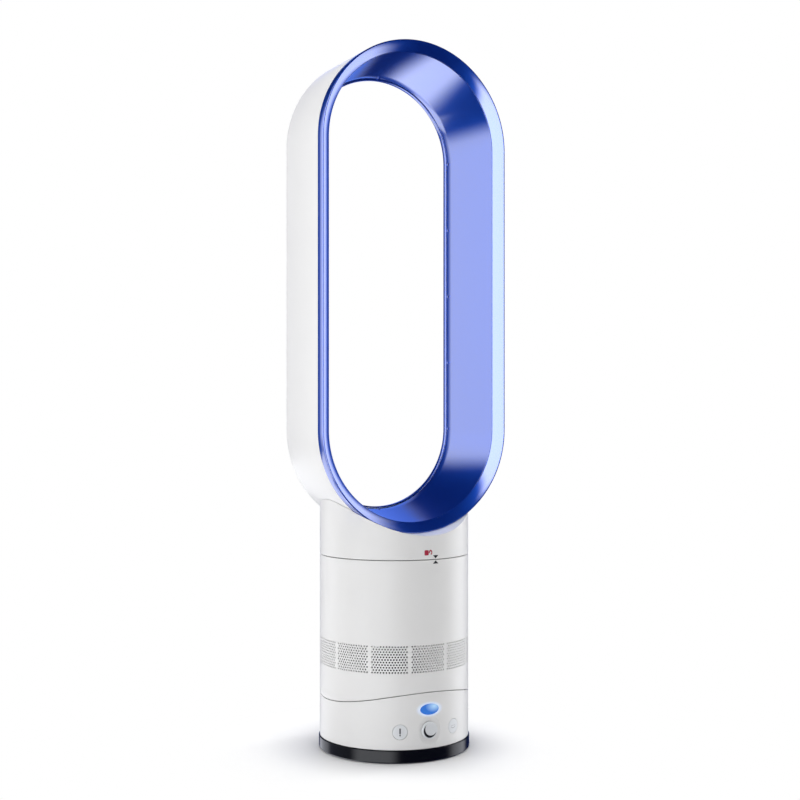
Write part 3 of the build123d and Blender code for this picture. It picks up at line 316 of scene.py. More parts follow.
# %% Material builder
def shader_of(material):
    return material.node_tree, material.node_tree.nodes["Principled BSDF"]


def moulded(name, colour, roughness, second=None, change=0.06, grain=900.0, strength=0.05,
            **sockets):
    material = bpy.data.materials.new(name)
    material.use_nodes = True
    tree, shader = shader_of(material)
    group = add_node(tree, "ShaderNodeGroup", (-600, 0), {
        "Roughness": roughness, "Roughness change": change,
        "Grain scale": grain, "Grain strength": strength,
    }, node_tree=MOULDED)
    mix = add_node(tree, "ShaderNodeMix", (-300, 200), {
        "A": (*colour, 1), "B": (*(second or [0.96 * c for c in colour]), 1),
    }, data_type="RGBA")
    tree.links.new(group.outputs["Mask"], mix.inputs["Factor"])
    tree.links.new(mix.outputs["Result"], shader.inputs["Base Color"])
    tree.links.new(group.outputs["Roughness"], shader.inputs["Roughness"])
    tree.links.new(group.outputs["Normal"], shader.inputs["Normal"])
    for socket, value in sockets.items():
        shader.inputs[socket.replace("_", " ")].default_value = value
    return material


def white_plastic(name):
    """The white of the body. Two pieces add something of their own to it."""
    return moulded(name, (0.79, 0.787, 0.782), 0.32, (0.77, 0.767, 0.762), grain=1400.0,
                   strength=0.03, IOR=1.32, Coat_Weight=0.11, Coat_Roughness=0.10)


WHITE = white_plastic("body_white")
BLUE = moulded("ring_blue", (0.010, 0.105, 0.67), 0.42, (0.013, 0.118, 0.70), change=0.03,
               grain=5200.0, strength=0.05, Metallic=0.93, Coat_Weight=1.0, Coat_IOR=3.0,
               Coat_Roughness=0.11)
BLACK = moulded("foot_black", (0.004, 0.004, 0.004), 0.16, change=0.04, strength=0.015, IOR=1.38)
KNOB = moulded("knob_white", (0.74, 0.76, 0.78), 0.30, strength=0.03, Coat_Weight=0.3)
MARK = moulded("mark_black", (0.012, 0.012, 0.014), 0.5)
GREY = moulded("inner_grey", (0.115, 0.12, 0.13), 0.5, grain=700.0, strength=0.10)
PALE = moulded("inner_pale", (0.62, 0.60, 0.54), 0.42, Subsurface_Weight=0.05)
RUBBER = moulded("rubber_black", (0.014, 0.014, 0.014), 0.75, grain=600.0, strength=0.25)
BOARD = moulded("board_green", (0.012, 0.10, 0.03), 0.38, (0.02, 0.14, 0.05), grain=500.0,
                strength=0.08)
STEEL = moulded("steel", (0.56, 0.57, 0.59), 0.28, grain=1600.0, strength=0.05, Metallic=1.0)
MOTOR = moulded("motor_steel", (0.34, 0.35, 0.37), 0.38, grain=900.0, strength=0.10, Metallic=1.0)
COPPER = moulded("winding_copper", (0.62, 0.22, 0.07), 0.35, (0.50, 0.17, 0.05), Metallic=0.9)
MAGNET = moulded("magnet", (0.05, 0.05, 0.055), 0.45, Metallic=0.6)
PRINT_GREY = moulded("print_grey", (0.10, 0.10, 0.11), 0.45)
PRINT_PALE = moulded("print_pale", (0.38, 0.39, 0.40), 0.45)
PRINT_RED = moulded("print_red", (0.42, 0.012, 0.045), 0.45)
print("materials:", len(bpy.data.materials))

# %% [markdown]
# ## The loop
#
# The nozzle's loop has the same section all the way round: two half circles joined by straights.
# Each section is an outline of (distance from the middle, depth, rounding) in millimetres, and
# the front is at negative depths.


# %% Loop sections
def loop_stations(arc_steps=96, straight_steps=20):
    """Middle height and outward direction in X and Z, at each step round the loop."""
    stations = []
    halves = ((LOOP_LOW, LOOP_HIGH, 1.0, 0.0), (LOOP_HIGH, LOOP_LOW, -1.0, math.pi))
    for start, end, side, first_turn in halves:
        for step in range(straight_steps):
            stations.append((start + (end - start) * step / straight_steps, side, 0.0))
        for step in range(arc_steps):
            turn = first_turn + math.pi * step / arc_steps
            stations.append((end, math.cos(turn), math.sin(turn)))
    return stations


def loop_mesh(corners):
    """Points and faces of one section swept round the loop."""
    outline = round_corners([(r * MM, y * MM, q * MM) for r, y, q in corners])
    rings = []
    for height, out_x, out_z in loop_stations():
        rings.append([(r * out_x, y, height + r * out_z) for r, y in outline])
    return closed_sweep(rings)


LOOP_R = 100
SHELL_IN = 98  # inside of the shell's wall
RING_BACK = -37  # where the blue side band meets the shell
BEVEL_IN = 89.7  # where the bevel meets the inner wall
BEVEL_BACK = -40.1
WALL_IN = 81.8  # narrowest part of the inner wall, on the side of the opening
WALL_OUT = 83.8
CURVE_BACK = 28  # where the inner wall's long curve ends
WALL_BACK = 38
BACK = 41.5
BACK_IN = 39.5  # inside of the shell's back
LIP_OUT = 84.5  # where the white back meets the blue lip
LIP_FRONT = 34.5

ring = loop_mesh([
    (LOOP_R, RING_BACK, 0.3), (SHELL_IN, RING_BACK, 0.1), (SHELL_IN, -45.7, 0.3),
    (92.0, BEVEL_BACK, 0.2), (BEVEL_IN, BEVEL_BACK, 0.3), (LOOP_R, -49.7, 0.8),
])
make_piece("ring_front", *ring, "nozzle", BLUE, 60, ["front_ring"])

inner_wall = loop_mesh([
    (BEVEL_IN, BEVEL_BACK, 0.3), (WALL_IN, CURVE_BACK, 30), (WALL_IN, WALL_BACK, 0.9),
    (WALL_OUT, WALL_BACK, 0.9), (WALL_OUT, CURVE_BACK, 30), (91.7, BEVEL_BACK, 0.2),
])
make_piece("ring_inner_wall", *inner_wall, "nozzle", BLUE, 60, ["air_guide"])

# %% [markdown]
# The shell is closed at the back and opens towards the collar. A cutter takes out that opening,
# and the result is stored as a plain mesh.


# %% Shell and its inlet
def cut(points, faces, cutters):
    """A mesh minus some other meshes, each given as points and faces."""
    made = []
    for index, (p, f) in enumerate([(points, faces)] + cutters):
        mesh = bpy.data.meshes.new(f"cut_{index}")
        mesh.from_pydata([tuple(q) for q in p], [], f)
        tidy = bmesh.new()
        tidy.from_mesh(mesh)
        bmesh.ops.recalc_face_normals(tidy, faces=tidy.faces)
        tidy.to_mesh(mesh)
        tidy.free()
        made.append(add_object(f"cut_{index}", mesh))
    for cutter in made[1:]:
        modifier = made[0].modifiers.new("cut", "BOOLEAN")
        modifier.operation = "DIFFERENCE"
        modifier.solver = "EXACT"
        modifier.object = cutter
    graph = bpy.context.evaluated_depsgraph_get()
    result = bpy.data.meshes.new_from_object(made[0].evaluated_get(graph))
    for piece in made:
        mesh = piece.data
        bpy.data.objects.remove(piece)
        bpy.data.meshes.remove(mesh)
    return result


def block(low, high):
    """Points and faces of a box between two corners."""
    points = [(x, y, z) for x in (low[0], high[0]) for y in (low[1], high[1])
              for z in (low[2], high[2])]
    faces = [(0, 1, 3, 2), (4, 6, 7, 5), (0, 4, 5, 1), (2, 3, 7, 6), (0, 2, 6, 4), (1, 5, 7, 3)]
    return points, faces


INLET = block((-48 * MM, -31 * MM, 203 * MM), (48 * MM, 33 * MM, 255 * MM))
shell = loop_mesh([
    (LOOP_R, RING_BACK, 0.3), (LOOP_R, BACK, 3.5), (LIP_OUT, BACK, 0.1), (LIP_OUT, BACK_IN, 0.1),
    (SHELL_IN, BACK_IN, 1.5), (SHELL_IN, RING_BACK, 0.1),
])
dress_mesh("shell_outer", cut(*shell, [INLET]), "nozzle", WHITE, 40, ["outer_shell"])
lip = loop_mesh([
    (79, LIP_FRONT, 0.6), (79.2, BACK, 5), (LIP_OUT, BACK, 0.1), (LIP_OUT, BACK_IN, 0.1),
    (80.8, BACK_IN, 3.2), (80.6, LIP_FRONT, 0.6),
])
make_piece("ring_back_lip", *lip, "nozzle", BLUE, 60)

# The far side of the loop would darken its own bevel in reflections, so it is left out of them.
for loop_piece in ("ring_front", "ring_inner_wall", "ring_back_lip", "shell_outer"):
    bpy.data.objects[loop_piece].visible_glossy = False

# %% [markdown]
# ## The collar
#
# The collar is a round bar, hollowed on top by the loop and from below by its own inside. Its
# skirt and lugs reach down into the housing. Its heights and radii are in millimetres.


# %% Collar
def capped_bar(profile, segments=192):
    """A solid of revolution from an open profile of (radius, height) that ends on the axis."""
    points = [(0, 0, profile[0][1]), (0, 0, profile[-1][1])]
    size = len(profile)
    faces = []
    for ring in turned(profile, segments):
        points.extend(ring)
    for step in range(segments):
        a = 2 + step * size
        b = 2 + (step + 1) % segments * size
        for i in range(size - 1):
            faces.append((a + i, b + i, b + i + 1, a + i + 1))
        faces.append((0, b, a))
        faces.append((1, a + size - 1, b + size - 1))
    return points, faces


def loop_bar(radius, reach=0.2, segments=384):
    """A round bar along Y on the middle of the loop's lower half circle."""
    points, faces = capped_bar([(radius, -reach), (radius, reach)], segments)
    return [(x, z, y + LOOP_LOW) for x, y, z in points], faces


COLLAR_R = 74
COLLAR_IN = 71.6
COLLAR_LOW = 192.2
COLLAR_HIGH = 262  # above the saddle, which the loop's bar cuts away

outline = round_corners([
    (0, COLLAR_LOW, 0), (COLLAR_R, COLLAR_LOW, 0.8), (COLLAR_R, COLLAR_HIGH, 0),
    (0, COLLAR_HIGH, 0),
])
collar_bar = capped_bar(in_metres([(r, z) for r, z in outline if r > 0]))
hollow_bar = capped_bar(in_metres([(COLLAR_IN, 180), (COLLAR_IN, COLLAR_HIGH)]))
hollow = cut(*hollow_bar, [loop_bar(SADDLE_R + BODY_WALL)])
hollow_mesh = ([tuple(v.co) for v in hollow.vertices], [tuple(p.vertices) for p in hollow.polygons])
collar_mesh = cut(*collar_bar, [loop_bar(SADDLE_R), hollow_mesh, INLET])
dress_mesh("collar_shell", collar_mesh, "nozzle", WHITE, 40, ["nozzle_collar"])
bpy.data.meshes.remove(hollow)

# %% [markdown]
# The skirt is a turned ring with four lugs, which lock under those of the housing's own ring.


# %% Skirt and lugs
def wedge(outer, inner, low, high, middle, spread, steps=8):
    """Points and faces of part of a ring, by angles in degrees from the front."""
    points, faces = [], []
    for step in range(steps + 1):
        angle = middle - spread / 2 + spread * step / steps
        for radius, height in ((outer, low), (outer, high), (inner, high), (inner, low)):
            points.append(on_tube(radius, angle, height))
    for step in range(steps):
        for i in range(4):
            j = (i + 1) % 4
            faces.append((4 * step + i, 4 * step + j, 4 * step + 4 + j, 4 * step + 4 + i))
    faces += [(0, 1, 2, 3), tuple(4 * steps + i for i in range(4))]
    return points, faces


SKIRT_R = 66.3
SKIRT_IN = 62.9
SKIRT_LOW = 179.2
FLANGE_R = 72.0
FLANGE_LOW = 196.2
FLANGE_HIGH = 198.6

skirt = lathe(in_metres(round_corners([
    (SKIRT_IN, SKIRT_LOW, 0.4), (SKIRT_R, SKIRT_LOW, 0.4), (SKIRT_R, FLANGE_LOW, 0.3),
    (FLANGE_R, FLANGE_LOW, 0.2), (FLANGE_R, FLANGE_HIGH, 0.2), (SKIRT_IN, FLANGE_HIGH, 0.4),
])))
make_piece("collar_skirt", *skirt, "nozzle", GREY)
for index in range(4):
    lug = wedge(outer=68.9 * MM, inner=65.8 * MM, low=183.4 * MM, high=186.4 * MM,
                middle=90 * index, spread=10)
    make_piece(f"collar_lug_{index}", *lug, "nozzle", GREY)

# %% [markdown]
# ## The main housing
#
# The air goes in through twelve panels of fine staggered holes. One panel is built as a sector of
# the wall, and a small Geometry Nodes tree repeats it round the tube. Every hole goes right
# through the wall.


# %% One panel
PANELS = 12
SECTOR = 360 / PANELS
PANEL_SPAN = 28.2  # the part of a sector that has holes, in degrees
PANEL_TURN = -0.8  # the whole band is turned a little, in degrees
PANEL_COLUMNS = 13
PANEL_ROWS = 11
HOLE_R = 0.88 * MM
BORDER_TURNS = (225, 270, 315, 45, 90, 135)  # directions from a hole's middle to its border
BETWEEN_TURNS = (247.5, 292.5, 0, 67.5, 112.5, 180)


def column_angles():
    """Edges of the half columns in one sector, in degrees from the front, then of the gap."""
    halves = 2 * PANEL_COLUMNS
    start = PANEL_TURN - PANEL_SPAN / 2
    end = PANEL_TURN + PANEL_SPAN / 2
    gap = SECTOR - PANEL_SPAN
    holes = [start + PANEL_SPAN * i / halves for i in range(halves + 1)]
    return holes + [end + gap / 2, end + gap]


def panel_mesh():
    """One sector of the wall. Odd rows of holes are shifted by half a column."""
    build = bmesh.new()
    height = (GRILLE_HIGH - GRILLE_LOW) / PANEL_ROWS
    edges = column_angles()

    def face(points):
        build.faces.new([build.verts.new(p) for p in points])

    def both_walls(ring):
        for radius in (BODY_R, BODY_IN):
            face([on_tube(radius, angle, z) for angle, z in ring])

    def plain(a, b, low):
        both_walls([(a, low), (b, low), (b, low + height), (a, low + height)])

    def pierced(a, middle, b, low):
        high = low + height
        border = [(a, low), (middle, low), (b, low), (b, high), (middle, high), (a, high)]
        hole = []
        for pair in zip(BORDER_TURNS, BETWEEN_TURNS):
            for turn in pair:
                across = HOLE_R * math.cos(math.radians(turn)) / BODY_R
                up = HOLE_R * math.sin(math.radians(turn))
                hole.append((middle + math.degrees(across), low + height / 2 + up))
        for i in range(6):
            j = (i + 1) % 6
            both_walls([border[i], border[j], hole[2 * j], hole[2 * i + 1], hole[2 * i]])
        for i in range(12):
            p, q = hole[i], hole[(i + 1) % 12]
            face([on_tube(BODY_R, *p), on_tube(BODY_R, *q),
                  on_tube(BODY_IN, *q), on_tube(BODY_IN, *p)])

    for row in range(PANEL_ROWS):
        low = GRILLE_LOW + row * height
        shift = row % 2
        for column in range(PANEL_COLUMNS - shift):
            pierced(*edges[2 * column + shift:2 * column + shift + 3], low)
        if shift:
            plain(edges[0], edges[1], low)
            plain(edges[2 * PANEL_COLUMNS - 1], edges[2 * PANEL_COLUMNS], low)
        for a, b in zip(edges[2 * PANEL_COLUMNS:], edges[2 * PANEL_COLUMNS + 1:]):
            plain(a, b, low)
    bmesh.ops.remove_doubles(build, verts=build.verts, dist=1e-6)
    mesh = bpy.data.meshes.new("panel")
    build.to_mesh(mesh)
    build.free()
    return mesh


panel = panel_mesh()
print("one panel:", len(panel.polygons), "faces")

# %% [markdown]
# The tree places one copy of the panel for each point of a line that has no length, each turned
# one step further round the axis. The copies are then made real and stored as a mesh.


# %% Repeat the panel round the tube
def repeat_tree():
    tree = bpy.data.node_groups.new("repeat_round", "GeometryNodeTree")
    tree.interface.new_socket("Geometry", in_out="INPUT", socket_type="NodeSocketGeometry")
    count = tree.interface.new_socket("Count", in_out="INPUT", socket_type="NodeSocketInt")
    count.default_value = PANELS
    tree.interface.new_socket("Material", in_out="INPUT", socket_type="NodeSocketMaterial")
    tree.interface.new_socket("Geometry", in_out="OUTPUT", socket_type="NodeSocketGeometry")
    enter = add_node(tree, "NodeGroupInput", (-800, 0))
    leave = add_node(tree, "NodeGroupOutput", (600, 0))
    line = add_node(tree, "GeometryNodeMeshLine", (-600, 200), {"Offset": (0, 0, 0)})
    index = add_node(tree, "GeometryNodeInputIndex", (-800, -200))
    step = math_node(tree, (-600, -400), "DIVIDE", 2 * math.pi, enter.outputs["Count"])
    turn = math_node(tree, (-400, -200), "MULTIPLY", index.outputs[0], step)
    vector = add_node(tree, "ShaderNodeCombineXYZ", (-200, -200))
    place = add_node(tree, "GeometryNodeInstanceOnPoints", (0, 100))
    real = add_node(tree, "GeometryNodeRealizeInstances", (200, 100))
    paint = add_node(tree, "GeometryNodeSetMaterial", (400, 100))
    link = tree.links.new
    link(enter.outputs["Count"], line.inputs["Count"])
    link(turn, vector.inputs["Z"])
    link(line.outputs["Mesh"], place.inputs["Points"])
    link(enter.outputs["Geometry"], place.inputs["Instance"])
    link(vector.outputs[0], place.inputs["Rotation"])
    link(place.outputs["Instances"], real.inputs["Geometry"])
    link(real.outputs["Geometry"], paint.inputs["Geometry"])
    link(enter.outputs["Material"], paint.inputs["Material"])
    link(paint.outputs["Geometry"], leave.inputs["Geometry"])
    return tree


def repeated(mesh, tree, material):
    """The mesh that the tree makes from another mesh."""
    holder = add_object("holder", mesh)
    modifier = holder.modifiers.new("repeat", "NODES")
    modifier.node_group = tree
    for item in tree.interface.items_tree:
        if item.name == "Material":
            modifier[item.identifier] = material
    graph = bpy.context.evaluated_depsgraph_get()
    result = bpy.data.meshes.new_from_object(holder.evaluated_get(graph))
    bpy.data.objects.remove(holder)
    return result


band = repeated(panel, repeat_tree(), WHITE)
print("band:", len(band.polygons), "faces")

# %% [markdown]
# Below and above the band the wall is plain. Its lower edge follows the tilting joint's curved
# seam, and both edges are slightly rounded. The wall is built from rows of points, and each row
# is a function of the angle.


# %% Rows of the plain wall
RIM_STEPS = 4
INNER_STEPS = 4


def tilt_height(depth, seam_radius):
    """Height of a seam that curves round the tilt axis, at a depth from that axis."""
    return TILT_Z - math.sqrt(seam_radius**2 - depth**2)


def seam_edge(angle, radius):
    """Height of the housing's curved lower edge."""
    return tilt_height(radius * math.cos(math.radians(angle)), HOUSING_TILT_R)


def top_edge(angle, radius):
    """Height of its level upper edge, called in the same way."""
    return HOUSING_TOP


def rim_rows(edge, side):
    """Rows over a rim, from the inner wall to the outer wall. side is +1 at an upper rim."""
    rounding = []
    for step in range(RIM_STEPS + 1):
        slant = math.pi / 2 * step / RIM_STEPS
        rounding.append((SEAM_ROUND * (1 - math.cos(slant)), SEAM_ROUND * (1 - math.sin(slant))))
    rim = [(BODY_IN + near, far) for near, far in rounding]
    rim += [(BODY_R - far, near) for near, far in rounding]
    return [lambda a, r=r, d=drop: on_tube(r, a, edge(a, r) - side * d) for r, drop in rim]


def level_rows(low, high, steps, radius):
    """Rows between two heights, which are functions of the angle, without the rows at its ends."""
    rows = []
    for step in range(1, steps):
        share = step / steps
        rows.append(lambda a, s=share: on_tube(radius, a, low(a) + (high(a) - low(a)) * s))
    return rows


def wall_rows(band_edge, edge, side, outer_steps):
    """All rows from the band of holes along the inner wall, over a rim and back outside."""
    def band_height(angle):
        return band_edge

    def inner_height(angle):
        return edge(angle, BODY_IN) - side * SEAM_ROUND

    def outer_height(angle):
        return edge(angle, BODY_R) - side * SEAM_ROUND

    rows = [lambda a: on_tube(BODY_IN, a, band_edge)]
    rows += level_rows(band_height, inner_height, INNER_STEPS, BODY_IN)
    rows += rim_rows(edge, side)
    rows += level_rows(outer_height, band_height, outer_steps, BODY_R)
    rows.append(lambda a: on_tube(BODY_R, a, band_edge))
    return rows


def join_rows(rows, build):
    """Faces between rows. The angles are those of the panels' columns, so that they meet."""
    angles = []
    for index in range(PANELS):
        angles += [edge + SECTOR * index for edge in column_angles()[:-1]]
    for lower, upper in zip(rows, rows[1:]):
        for index, angle in enumerate(angles):
            after = angles[(index + 1) % len(angles)]
            loop = [lower(angle), lower(after), upper(after), upper(angle)]
            build.faces.new([build.verts.new(p) for p in loop])


print("wall helpers ready")

# %% [markdown]
# The band and the two plain parts make one closed wall. Its inside is coloured dark as painted
# shade, standing in for the shadow inside the tube, so that no lit wall shows through the holes.


# %% Close the housing
def make_housing_white_painted_shade():
    """The white of the body, with painted shade: it turns dark on the inside of the wall."""
    material = white_plastic("housing_white")
    tree, shader = shader_of(material)
    outside = shader.inputs["Base Color"].links[0].from_socket
    coords = add_node(tree, "ShaderNodeTexCoord", (-900, 500))
    flat = add_node(tree, "ShaderNodeVectorMath", (-700, 500), {1: (1, 1, 0)},
                    operation="MULTIPLY")
    size = add_node(tree, "ShaderNodeVectorMath", (-500, 500), operation="LENGTH")
    # Painted shade: the inside of the wall gets a dark colour in place of the shadow there.
    inside = math_node(tree, (-300, 500), "LESS_THAN", size.outputs["Value"],
                       BODY_R - 0.95 * BODY_WALL)
    mix = add_node(tree, "ShaderNodeMix", (-100, 300), {"B": (0.06, 0.06, 0.062, 1)},
                   data_type="RGBA")
    tree.links.new(coords.outputs["Object"], flat.inputs[0])
    tree.links.new(flat.outputs[0], size.inputs[0])
    tree.links.new(inside, mix.inputs["Factor"])
    tree.links.new(outside, mix.inputs["A"])
    tree.links.new(mix.outputs["Result"], shader.inputs["Base Color"])
    return material


housing = bmesh.new()
housing.from_mesh(band)
join_rows(wall_rows(GRILLE_LOW, seam_edge, side=-1, outer_steps=6), housing)
join_rows(wall_rows(GRILLE_HIGH, top_edge, side=1, outer_steps=8), housing)
bmesh.ops.remove_doubles(housing, verts=housing.verts, dist=2e-6)
housing_mesh = bpy.data.meshes.new("housing")
housing.to_mesh(housing_mesh)
open_edges = sum(1 for edge in housing.edges if len(edge.link_faces) != 2)
housing.free()
dress_mesh("housing_main", housing_mesh, "main", make_housing_white_painted_shade(), 40, ["main_housing"])
print("open edges:", open_edges)

# %% [markdown]
# Inside the housing a ledge carries the duct, and four bosses take the screws of the tilt shoe.
# Each boss starts on the shoe's curved top.

# %% Ledge and bosses
LEDGE_IN = 68.1
LEDGE_R = 71.8
LEDGE_LOW = 113
LEDGE_HIGH = 115
SHOE_R = 212.4 * MM
BOSS_PLACE = 67.8 * MM  # from the fan's axis to a boss's own
BOSS_R = 4.2 * MM
BOSS_HOLE_R = 1.5 * MM
BOSS_TOP = 0.0822

ledge = lathe(in_metres(round_corners([
    (LEDGE_IN, LEDGE_LOW, 0.3), (LEDGE_R, LEDGE_LOW, 0), (LEDGE_R, LEDGE_HIGH, 0),
    (LEDGE_IN, LEDGE_HIGH, 0.3),
])))
make_piece("housing_ledge", *ledge, "main", WHITE)
for index in range(4):
    turn = math.radians(45 + 90 * index)
    middle = (BOSS_PLACE * math.cos(turn), BOSS_PLACE * math.sin(turn))
    start = tilt_height(middle[1], SHOE_R)
    points, faces = lathe([
        (BOSS_HOLE_R, start), (BOSS_R, start), (BOSS_R, BOSS_TOP), (BOSS_HOLE_R, BOSS_TOP),
    ], segments=32)
    points = [(x + middle[0], y + middle[1], z) for x, y, z in points]
    make_piece(f"housing_boss_{index}", points, faces, "main", WHITE)

# %% [markdown]
# ## Printed marks
#
# The marks are thin patches that follow the tube. Each is drawn flat, in millimetres to the right
# and up from its own middle, as a row of crossing lines, and then wrapped on to the wall.


# %% Mark helpers
PRINT_LIFT = 0.05 * MM


def mark(name, angle, height, rows, body, material):
    """rows are pairs of (u, v) points; the mark lies between the first and the second of each."""
    rings = []
    for pair in rows:
        ring = []
        for lift in (PRINT_LIFT, -PRINT_LIFT):
            for u, v in pair if lift > 0 else reversed(pair):
                turn = angle + math.degrees(u * MM / BODY_R)
                ring.append(on_tube(BODY_R + lift, turn, height + v * MM))
        rings.append(ring)
    points, faces = closed_sweep(rings)
    last = 4 * (len(rings) - 1)
    faces[-4:] = [(0, 1, 2, 3), (last, last + 1, last + 2, last + 3)]  # ends instead of the join
    return make_piece(name, points, faces, body, material, 30)


def spread_rows(half_width, low, high, steps=14):
    """Upright pairs between two heights, which are functions of the share from left to right."""
    rows = []
    for step in range(steps + 1):
        share = step / steps
        u = 2 * half_width * share - half_width
        rows.append(((u, low(share)), (u, high(share))))
    return rows


def arc_rows(inner, outer, start, end, steps=40, stretch=1.0):
    """Pairs across an arc between two angles in degrees, perhaps stretched upwards."""
    rows = []
    for step in range(steps + 1):
        turn = math.radians(start + (end - start) * step / steps)
        rows.append((
            (inner * math.cos(turn), inner * stretch * math.sin(turn)),
            (outer * math.cos(turn), outer * stretch * math.sin(turn)),
        ))
    return rows


def level(height):
    return lambda share: height


def peaked(edge, tip):
    return lambda share: tip + (edge - tip) * abs(2 * share - 1)


def rounded(edge, middle):
    return lambda share: middle + (edge - middle) * abs(2 * share - 1) ** 6


def bulged(middle, rise):
    """A height that leaves its middle by up to the rise, like half of an oval."""
    return lambda share: middle + rise * (1 - abs(2 * share - 1) ** 3) ** 0.5


print("mark helpers ready")

# %% [markdown]
# Two triangles point at the seam between collar and housing: they meet when the nozzle is locked.
# A small padlock beside them is a generic sign for that.

# %% Marks at the collar seam
SEAM_MARK_ANGLE = 5
upper = spread_rows(3.1, peaked(1.5, -1.5), level(1.51))
lower = spread_rows(3.1, level(-1.51), peaked(-1.5, 1.5))
lock_body = spread_rows(2.2, rounded(-1.8, -2.4), rounded(2.0, 2.6))
lock_bow = arc_rows(0.8, 1.9, -80, 200, stretch=1.3)
mark("mark_upper", SEAM_MARK_ANGLE, 194.5 * MM, upper, "nozzle", MARK)
mark("mark_lower", SEAM_MARK_ANGLE, 189.5 * MM, lower, "main", MARK)
mark("lock_body", -2.7, 198.6 * MM, lock_body, "nozzle", PRINT_RED)
mark("lock_bow", 0.6, 198.9 * MM, lock_bow, "nozzle", PRINT_RED)

# %% [markdown]
# The left button has a bar and a dot, the right one a shallow arc with two short ends. Both ride
# on their own buttons.

# %% Button signs
bar = spread_rows(0.75, bulged(-1.3, -0.3), bulged(3.2, 0.5))
dot = spread_rows(0.75, bulged(-0.05, -0.7), bulged(0.05, 0.7))
arc = arc_rows(3.6, 4.1, 215, 325)
ends = spread_rows(3.2, level(0.7), level(1.0))
mark("sign_bar", -BUTTON_ANGLE, PANEL_Z, bar, "power_key", PRINT_GREY)
mark("sign_dot", -BUTTON_ANGLE, PANEL_Z - 2.9 * MM, dot, "power_key", PRINT_GREY)
mark("sign_arc", BUTTON_ANGLE, PANEL_Z + 2 * MM, arc, "swing_key", PRINT_PALE)
mark("sign_arc_ends", BUTTON_ANGLE, PANEL_Z - 0.2 * MM, ends, "swing_key", PRINT_PALE)

# %% [markdown]
# ## Materials of the carried-over pieces
#
# The wall round the window has a pale blue glow, painted light from the window put on as emission,
# and the window itself shines, more so at its upper right.


# %% Window and its glow
WINDOW_Z = 50 * MM
GLOW_DEPTH = 60 * MM  # the glow also fades towards the back of the fan


def window_distance(tree, width, height, shift_x=0.0, shift_z=0.0):
    """A value that is 1 on an oval round the window's middle and grows outwards and to the back."""
    coords = add_node(tree, "ShaderNodeTexCoord", (-1500, 500))
    move = add_node(tree, "ShaderNodeMapping", (-1300, 500), {
        "Location": (-shift_x / width, BODY_R / GLOW_DEPTH, -(WINDOW_Z + shift_z) / height),
        "Scale": (1 / width, 1 / GLOW_DEPTH, 1 / height),
    })
    size = add_node(tree, "ShaderNodeVectorMath", (-1100, 500), operation="LENGTH")
    tree.links.new(coords.outputs["Object"], move.inputs["Vector"])
    tree.links.new(move.outputs["Vector"], size.inputs[0])
    return size.outputs["Value"]


def make_window():
    material = moulded("window_blue", (0.01, 0.04, 0.20), 0.14, (0.012, 0.05, 0.22), change=0.02,
                       IOR=1.4)
    tree, shader = shader_of(material)
    distance = window_distance(tree, 13 * MM, 8 * MM, shift_x=5 * MM, shift_z=2.6 * MM)
    ramp = add_node(tree, "ShaderNodeValToRGB", (-900, 500))
    bright, dim = ramp.color_ramp.elements
    bright.color = (0.52, 0.78, 0.95, 1)
    dim.position = 0.75
    dim.color = (0.04, 0.17, 0.56, 1)
    tree.links.new(distance, ramp.inputs["Fac"])
    tree.links.new(ramp.outputs["Color"], shader.inputs["Emission Color"])
    shader.inputs["Emission Strength"].default_value = 0.85
    return material


def make_panel_white_painted_glow():
    material = white_plastic("panel_white")
    tree, shader = shader_of(material)
    distance = window_distance(tree, 10 * MM, 5.25 * MM)
    # Painted light: the window's glow is put on the wall round it as emission.
    glow = smooth_range(tree, (-900, 500), distance, 0.95, 1.55, low=0.35, high=0.0)
    tree.links.new(glow, shader.inputs["Emission Strength"])
    shader.inputs["Emission Color"].default_value = (0.25, 0.5, 1.0, 1)
    return material


WINDOW = make_window()
PANEL_WHITE_PAINTED_GLOW = make_panel_white_painted_glow()
print("window ready")

# %% [markdown]
# Every CAD piece that still shows gets the material of its slot. The spacers in the air slot are
# blue like the walls that they stand between, and the lower housing has the window's painted glow.

# %% Give the CAD pieces their materials
FOAM = moulded("foam_dark", (0.03, 0.03, 0.033), 0.9, (0.045, 0.045, 0.05), grain=420.0,
               strength=0.9)
SLOTS = {plain_name(material): material for material in (
    WHITE, BLUE, BLACK, KNOB, WINDOW, MARK, GREY, PALE, RUBBER, FOAM, BOARD, STEEL, MOTOR, COPPER,
    MAGNET,
)}
OWN = {"lower_housing": PANEL_WHITE_PAINTED_GLOW, "slot_spacers": BLUE}
CAD_SHARP = 32
for part in frame["record"]["subparts"]:
    mesh = nodes[part["node"]].data
    mesh.materials.clear()
    mesh.materials.append(OWN.get(part["node"], SLOTS[part["material_slot"]]))
    mesh.shade_smooth()
    mesh.set_sharp_from_angle(angle=math.radians(CAD_SHARP))
